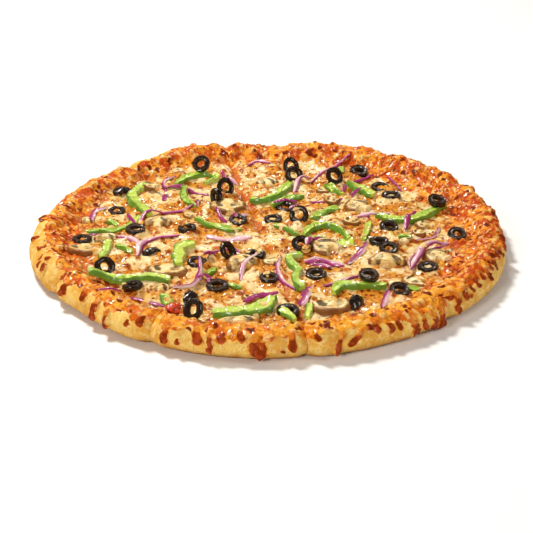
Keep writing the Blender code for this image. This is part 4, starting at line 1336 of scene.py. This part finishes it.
# x, y, cap width, cap height, stem length, turn
SMALL_MUSHROOMS = (
    (-138, -28, 28, 10, 4, 170), (-75, -63, 30, 13, 4, 172), (102, -78, 20, 10, 6, 120),
    (40, -116, 30, 15, 6, 190), (-3, 100, 18, 10, 6, 20), (-20, -56, 25, 13, 5, 30),
    (84, -51, 29, 13, 5, 0), (118, 15, 15, 9, 5, 70), (-104, 96, 13, 7, 4, 40), (-95, 84, 12, 8, 4, 100),
    (62, 24, 14, 8, 5, 150), (-142, 26, 11, 6, 3, 15), (-78, -92, 15, 6, 3, 10), (-22, -145, 32, 7, 3, 5),
    (-14, -107, 14, 6, 3, 170), (1, -48, 14, 8, 4, 90), (42, 87, 13, 7, 4, 200), (100, -15, 15, 5, 2, 30),
    (48, 62, 13, 8, 4, 160), (-124, -9, 18, 7, 3, 10), (-62, 36, 13, 7, 4, 80), (112, 4, 12, 6, 3, 150),
)


print("small toppings:", len(SMALL_OLIVES + SMALL_PEPPERS + SMALL_ONIONS + SMALL_MUSHROOMS))

# %% [markdown]
# ## Settling loose pieces
# A stiff slice is lowered until it touches what is below it, and pressed in a bit. The map of heights
# gives the ground under every cell of the slice, so it can lie across a bigger topping. Pieces of one
# kind are joined into one object at the end, which keeps the list of objects short.

# %% Settling loose pieces
OLIVE_END_SIZE = (7.8, 6.4, 4.0)


def olive_end(seed):
    """The rounded end of an olive, with its flat cut side towards -Y."""
    bm = bmesh.new()
    bmesh.ops.create_uvsphere(bm, u_segments=32, v_segments=18, radius=1.0)
    face = bm.verts.layers.float.new("face")
    for vertex in bm.verts:
        vertex[face] = 1.0 if vertex.co.y < -0.42 else 0.0
        wave = 1 + 0.2 * noise.noise(vertex.co * 1.6 + Vector((seed, 0, 0))) + 0.1 * noise.noise(vertex.co * 5)
        x, y, z = vertex.co
        dip = 0.3 * math.sqrt(max(1 - (x * x + z * z) * 1.6, 0))
        y = max(y, -0.42 + dip)
        wide, long, tall = OLIVE_END_SIZE
        vertex.co = Vector((x * wide, y * long, z * (tall if z > 0 else 1.6))) * wave * MM
    return bm


def settle_rigid(bm, sink):
    """Lower a stiff piece until it touches what is below it, then press it in."""
    low, high = box_of([v.co for v in bm.verts])
    i, j, under = footprint(BVHTree.FromBMesh(bm), low, high, from_below=True)
    drop = np.percentile(ground[i, j] - under, 88) - sink
    bmesh.ops.translate(bm, verts=bm.verts[:], vec=(0, 0, drop * MM))
    lay_on_ground(BVHTree.FromBMesh(bm), low, high)
    return bm


def joined(name, pieces, material):
    """One object of many pieces, which keep what their points carry."""
    things = [finished(f"{name}_{number}", bm, material) for number, bm in enumerate(pieces)]
    with bpy.context.temp_override(active_object=things[0], selected_editable_objects=things):
        bpy.ops.object.join()
    things[0].name = name
    things[0].data.name = name
    print(name + ":", len(pieces), "pieces,", len(things[0].data.polygons), "faces")
    return things[0]


print("map of heights:", len(axis), "cells each way")

# %% [markdown]
# ## Small toppings in place
# Mushrooms come first, because they lie under most other bits, then strips of pepper, olives and last
# the limp slivers of onion. A strip bends over the map of heights, as soft things do. Each piece adds
# its own height to the map.

# %% Small toppings in place
LARGE_CAP, THIN_SLICE = 20, 3.0
pieces = []
for number, (x, y, cap_width, cap_height, stem_length, turn) in enumerate(SMALL_MUSHROOMS):
    thickness, sink = (MUSHROOM_THICKNESS, 1.0) if cap_width > LARGE_CAP else (THIN_SLICE, 1.5)
    bm = turned_flat(mushroom_bmesh(cap_width, cap_height, stem_length, number + 20, thickness), turn)
    place = layout(x, y, 2.0)
    bmesh.ops.translate(bm, verts=bm.verts[:], vec=(place[0] * MM, place[1] * MM, 0))
    pieces.append(settle_rigid(bm, sink))
joined("mushroom_bits", pieces, mushroom_material)

pieces = []
for number, entry in enumerate(SMALL_PEPPERS):
    path = smooth_path([layout(x, y, 1.9) for x, y in entry[1:]])
    heights = settle(sample(ground, path[:, 0], path[:, 1]), 3) - 1.0
    bm = strip_bmesh(path, heights, entry[0], 3.2, PEPPER_SECTION, 0.7, number + 80, 0.5, number * 0.43 % 1)
    lay_on_ground(BVHTree.FromBMesh(bm), *box_of([v.co for v in bm.verts]))
    pieces.append(bm)
joined("pepper_bits", pieces, pepper_material)

pieces = []
for number, (x, y, tilt, turn, sink, is_end) in enumerate(SMALL_OLIVES):
    bm = olive_end(number) if is_end else olive_bmesh(number + 40, 7.1, 3.5, 3.8)
    place = layout(x, y, 2.0 + 7.0 * math.sin(math.radians(tilt)) * 0.8)
    set_olive(bm, Vector((place[0] * MM, place[1] * MM, 0)), tilt, turn)
    pieces.append(settle_rigid(bm, sink))
joined("olive_bits", pieces, olive_material)

pieces = []
for number, (tone_value, width, *points) in enumerate(SMALL_ONIONS):
    path = smooth_path([layout(x, y, 1.5) for x, y in points])
    heights = settle(sample(ground, path[:, 0], path[:, 1]), 4) - 0.7
    bm = strip_bmesh(path, heights, width * 1.25, 1.7, ONION_SECTION, 0.35, number + 120, 0.4, tone_value)
    lay_on_ground(BVHTree.FromBMesh(bm), *box_of([v.co for v in bm.verts]))
    pieces.append(bm)
joined("onion_bits", pieces, onion_material)

# %% [markdown]
# ## Cheese over the toppings
# Some of the grated cheese was strewn last, so thin melted patches lie across the toppings and tie
# them to the slice. Each is a flattened ball draped over the map of heights, with a ragged outline
# and a rim that sinks in. Where something stands up, a patch only leans against it.

# %% Cheese over the toppings
PATCH_COUNT, PATCH_REACH = 90, 146
draped = ground.copy()
for _ in range(8):
    draped = np.maximum(softened(draped), ground)
random = np.random.default_rng(12)
pieces = []
for number in range(PATCH_COUNT):
    away, turn = PATCH_REACH * math.sqrt(random.uniform()), random.uniform(0, math.tau)
    centre_x, centre_y = away * math.cos(turn), away * math.sin(turn)
    radius, slim, spin = random.uniform(2.2, 4.4), random.uniform(0.5, 0.9), random.uniform(0, math.pi)
    bm = bmesh.new()
    bmesh.ops.create_icosphere(bm, subdivisions=4, radius=1.0)
    balls = np.array([v.co for v in bm.verts])
    facing = np.arctan2(balls[:, 1], balls[:, 0])
    ragged = radius * (1 + 0.5 * clouds(np.cos(facing) * 1.4 + number, np.sin(facing) * 1.4, 1.0, 90))
    u, v = balls[:, 0] * ragged, balls[:, 1] * ragged * slim
    x = centre_x + u * math.cos(spin) - v * math.sin(spin)
    y = centre_y + u * math.sin(spin) + v * math.cos(spin)
    under = sample(draped, x, y)
    level = np.median(under)
    under = np.clip(under, level - 2.5, level + 0.7)
    z = under - 0.45 + balls[:, 2] * np.where(balls[:, 2] > 0, 1.0, 0.8) + 0.3 * clouds(x, y, 4, 91)
    for vertex, place in zip(bm.verts, np.stack([x, y, z], axis=1) * MM):
        vertex.co = place
    pieces.append(bm)
melted = Recipe("melted_cheese", roughness=0.5, coat_roughness=0.12, coat_weight=0.25, specular_ior_level=0.04)
cream = melted.mix(melted.grain(7.0).step(0.36, 0.66), paint("EECE8C"), paint("D89A42"))
freckles = 1 - (melted.cells(4.0) + melted.grain(2.0) * 0.5 - 0.25).step(0.1, 0.26)
cream = melted.mix(freckles * 0.8, cream, paint("BC5C14"))
melted_material = melted.finish(base_color=cream, normal=melted.relief(melted.grain(3.0), 0.6, 0.7))
joined("cheese_patches", pieces, melted_material)

# %% [markdown]
# ## Herb flecks
# Dried herbs and cracked pepper are strewn over everything, more thickly on the right and at the back.
# Each is a ball of only eight faces, squashed to a small flake on the map of heights, because finer
# ones would cost much and show nothing. All of them are one mesh.

# %% Herb flecks
FLECK_COUNT, FLECK_REACH, FLECK_HALF_THICKNESS = 1000, 168, 0.45
FLECK_CORNERS = 6
random = np.random.default_rng(5)
herbs_bm = bmesh.new()
fleck_tone = herbs_bm.verts.layers.float.new("tone")
while len(herbs_bm.verts) < FLECK_COUNT * FLECK_CORNERS:
    away, turn = FLECK_REACH * math.sqrt(random.uniform()), random.uniform(0, math.tau)
    if random.uniform() > 0.45 + 0.4 * math.cos(turn - math.radians(50)):
        continue
    x, y = away * math.cos(turn), away * math.sin(turn)
    z = float(sample(ground, np.array([x]), np.array([y]))[0]) + 0.1
    long, wide, spin = random.uniform(0.5, 1.3), random.uniform(0.35, 0.6), random.uniform(0, math.pi)
    shade = random.uniform()
    size = Matrix.Diagonal(Vector((long, wide, FLECK_HALF_THICKNESS, 1 / MM)) * MM)
    matrix = Matrix.Translation(Vector((x, y, z)) * MM) @ Matrix.Rotation(spin, 4, "Z") @ size
    flake = bmesh.ops.create_uvsphere(herbs_bm, u_segments=4, v_segments=2, radius=1.0, matrix=matrix)
    for corner in flake["verts"]:
        corner[fleck_tone] = shade
bmesh.ops.recalc_face_normals(herbs_bm, faces=herbs_bm.faces[:])
herb = Recipe("herbs", roughness=0.6)
leaf = herb.mix(herb.mask("tone").step(0.3, 0.7), paint("1C1408"), paint("44421A"))
herb_material = herb.finish(base_color=herb.mix(herb.mask("tone").step(0.8, 0.9), leaf, paint("6A3A12")))
finished("herb_flecks", herbs_bm, herb_material)
print("herb flecks:", FLECK_COUNT)
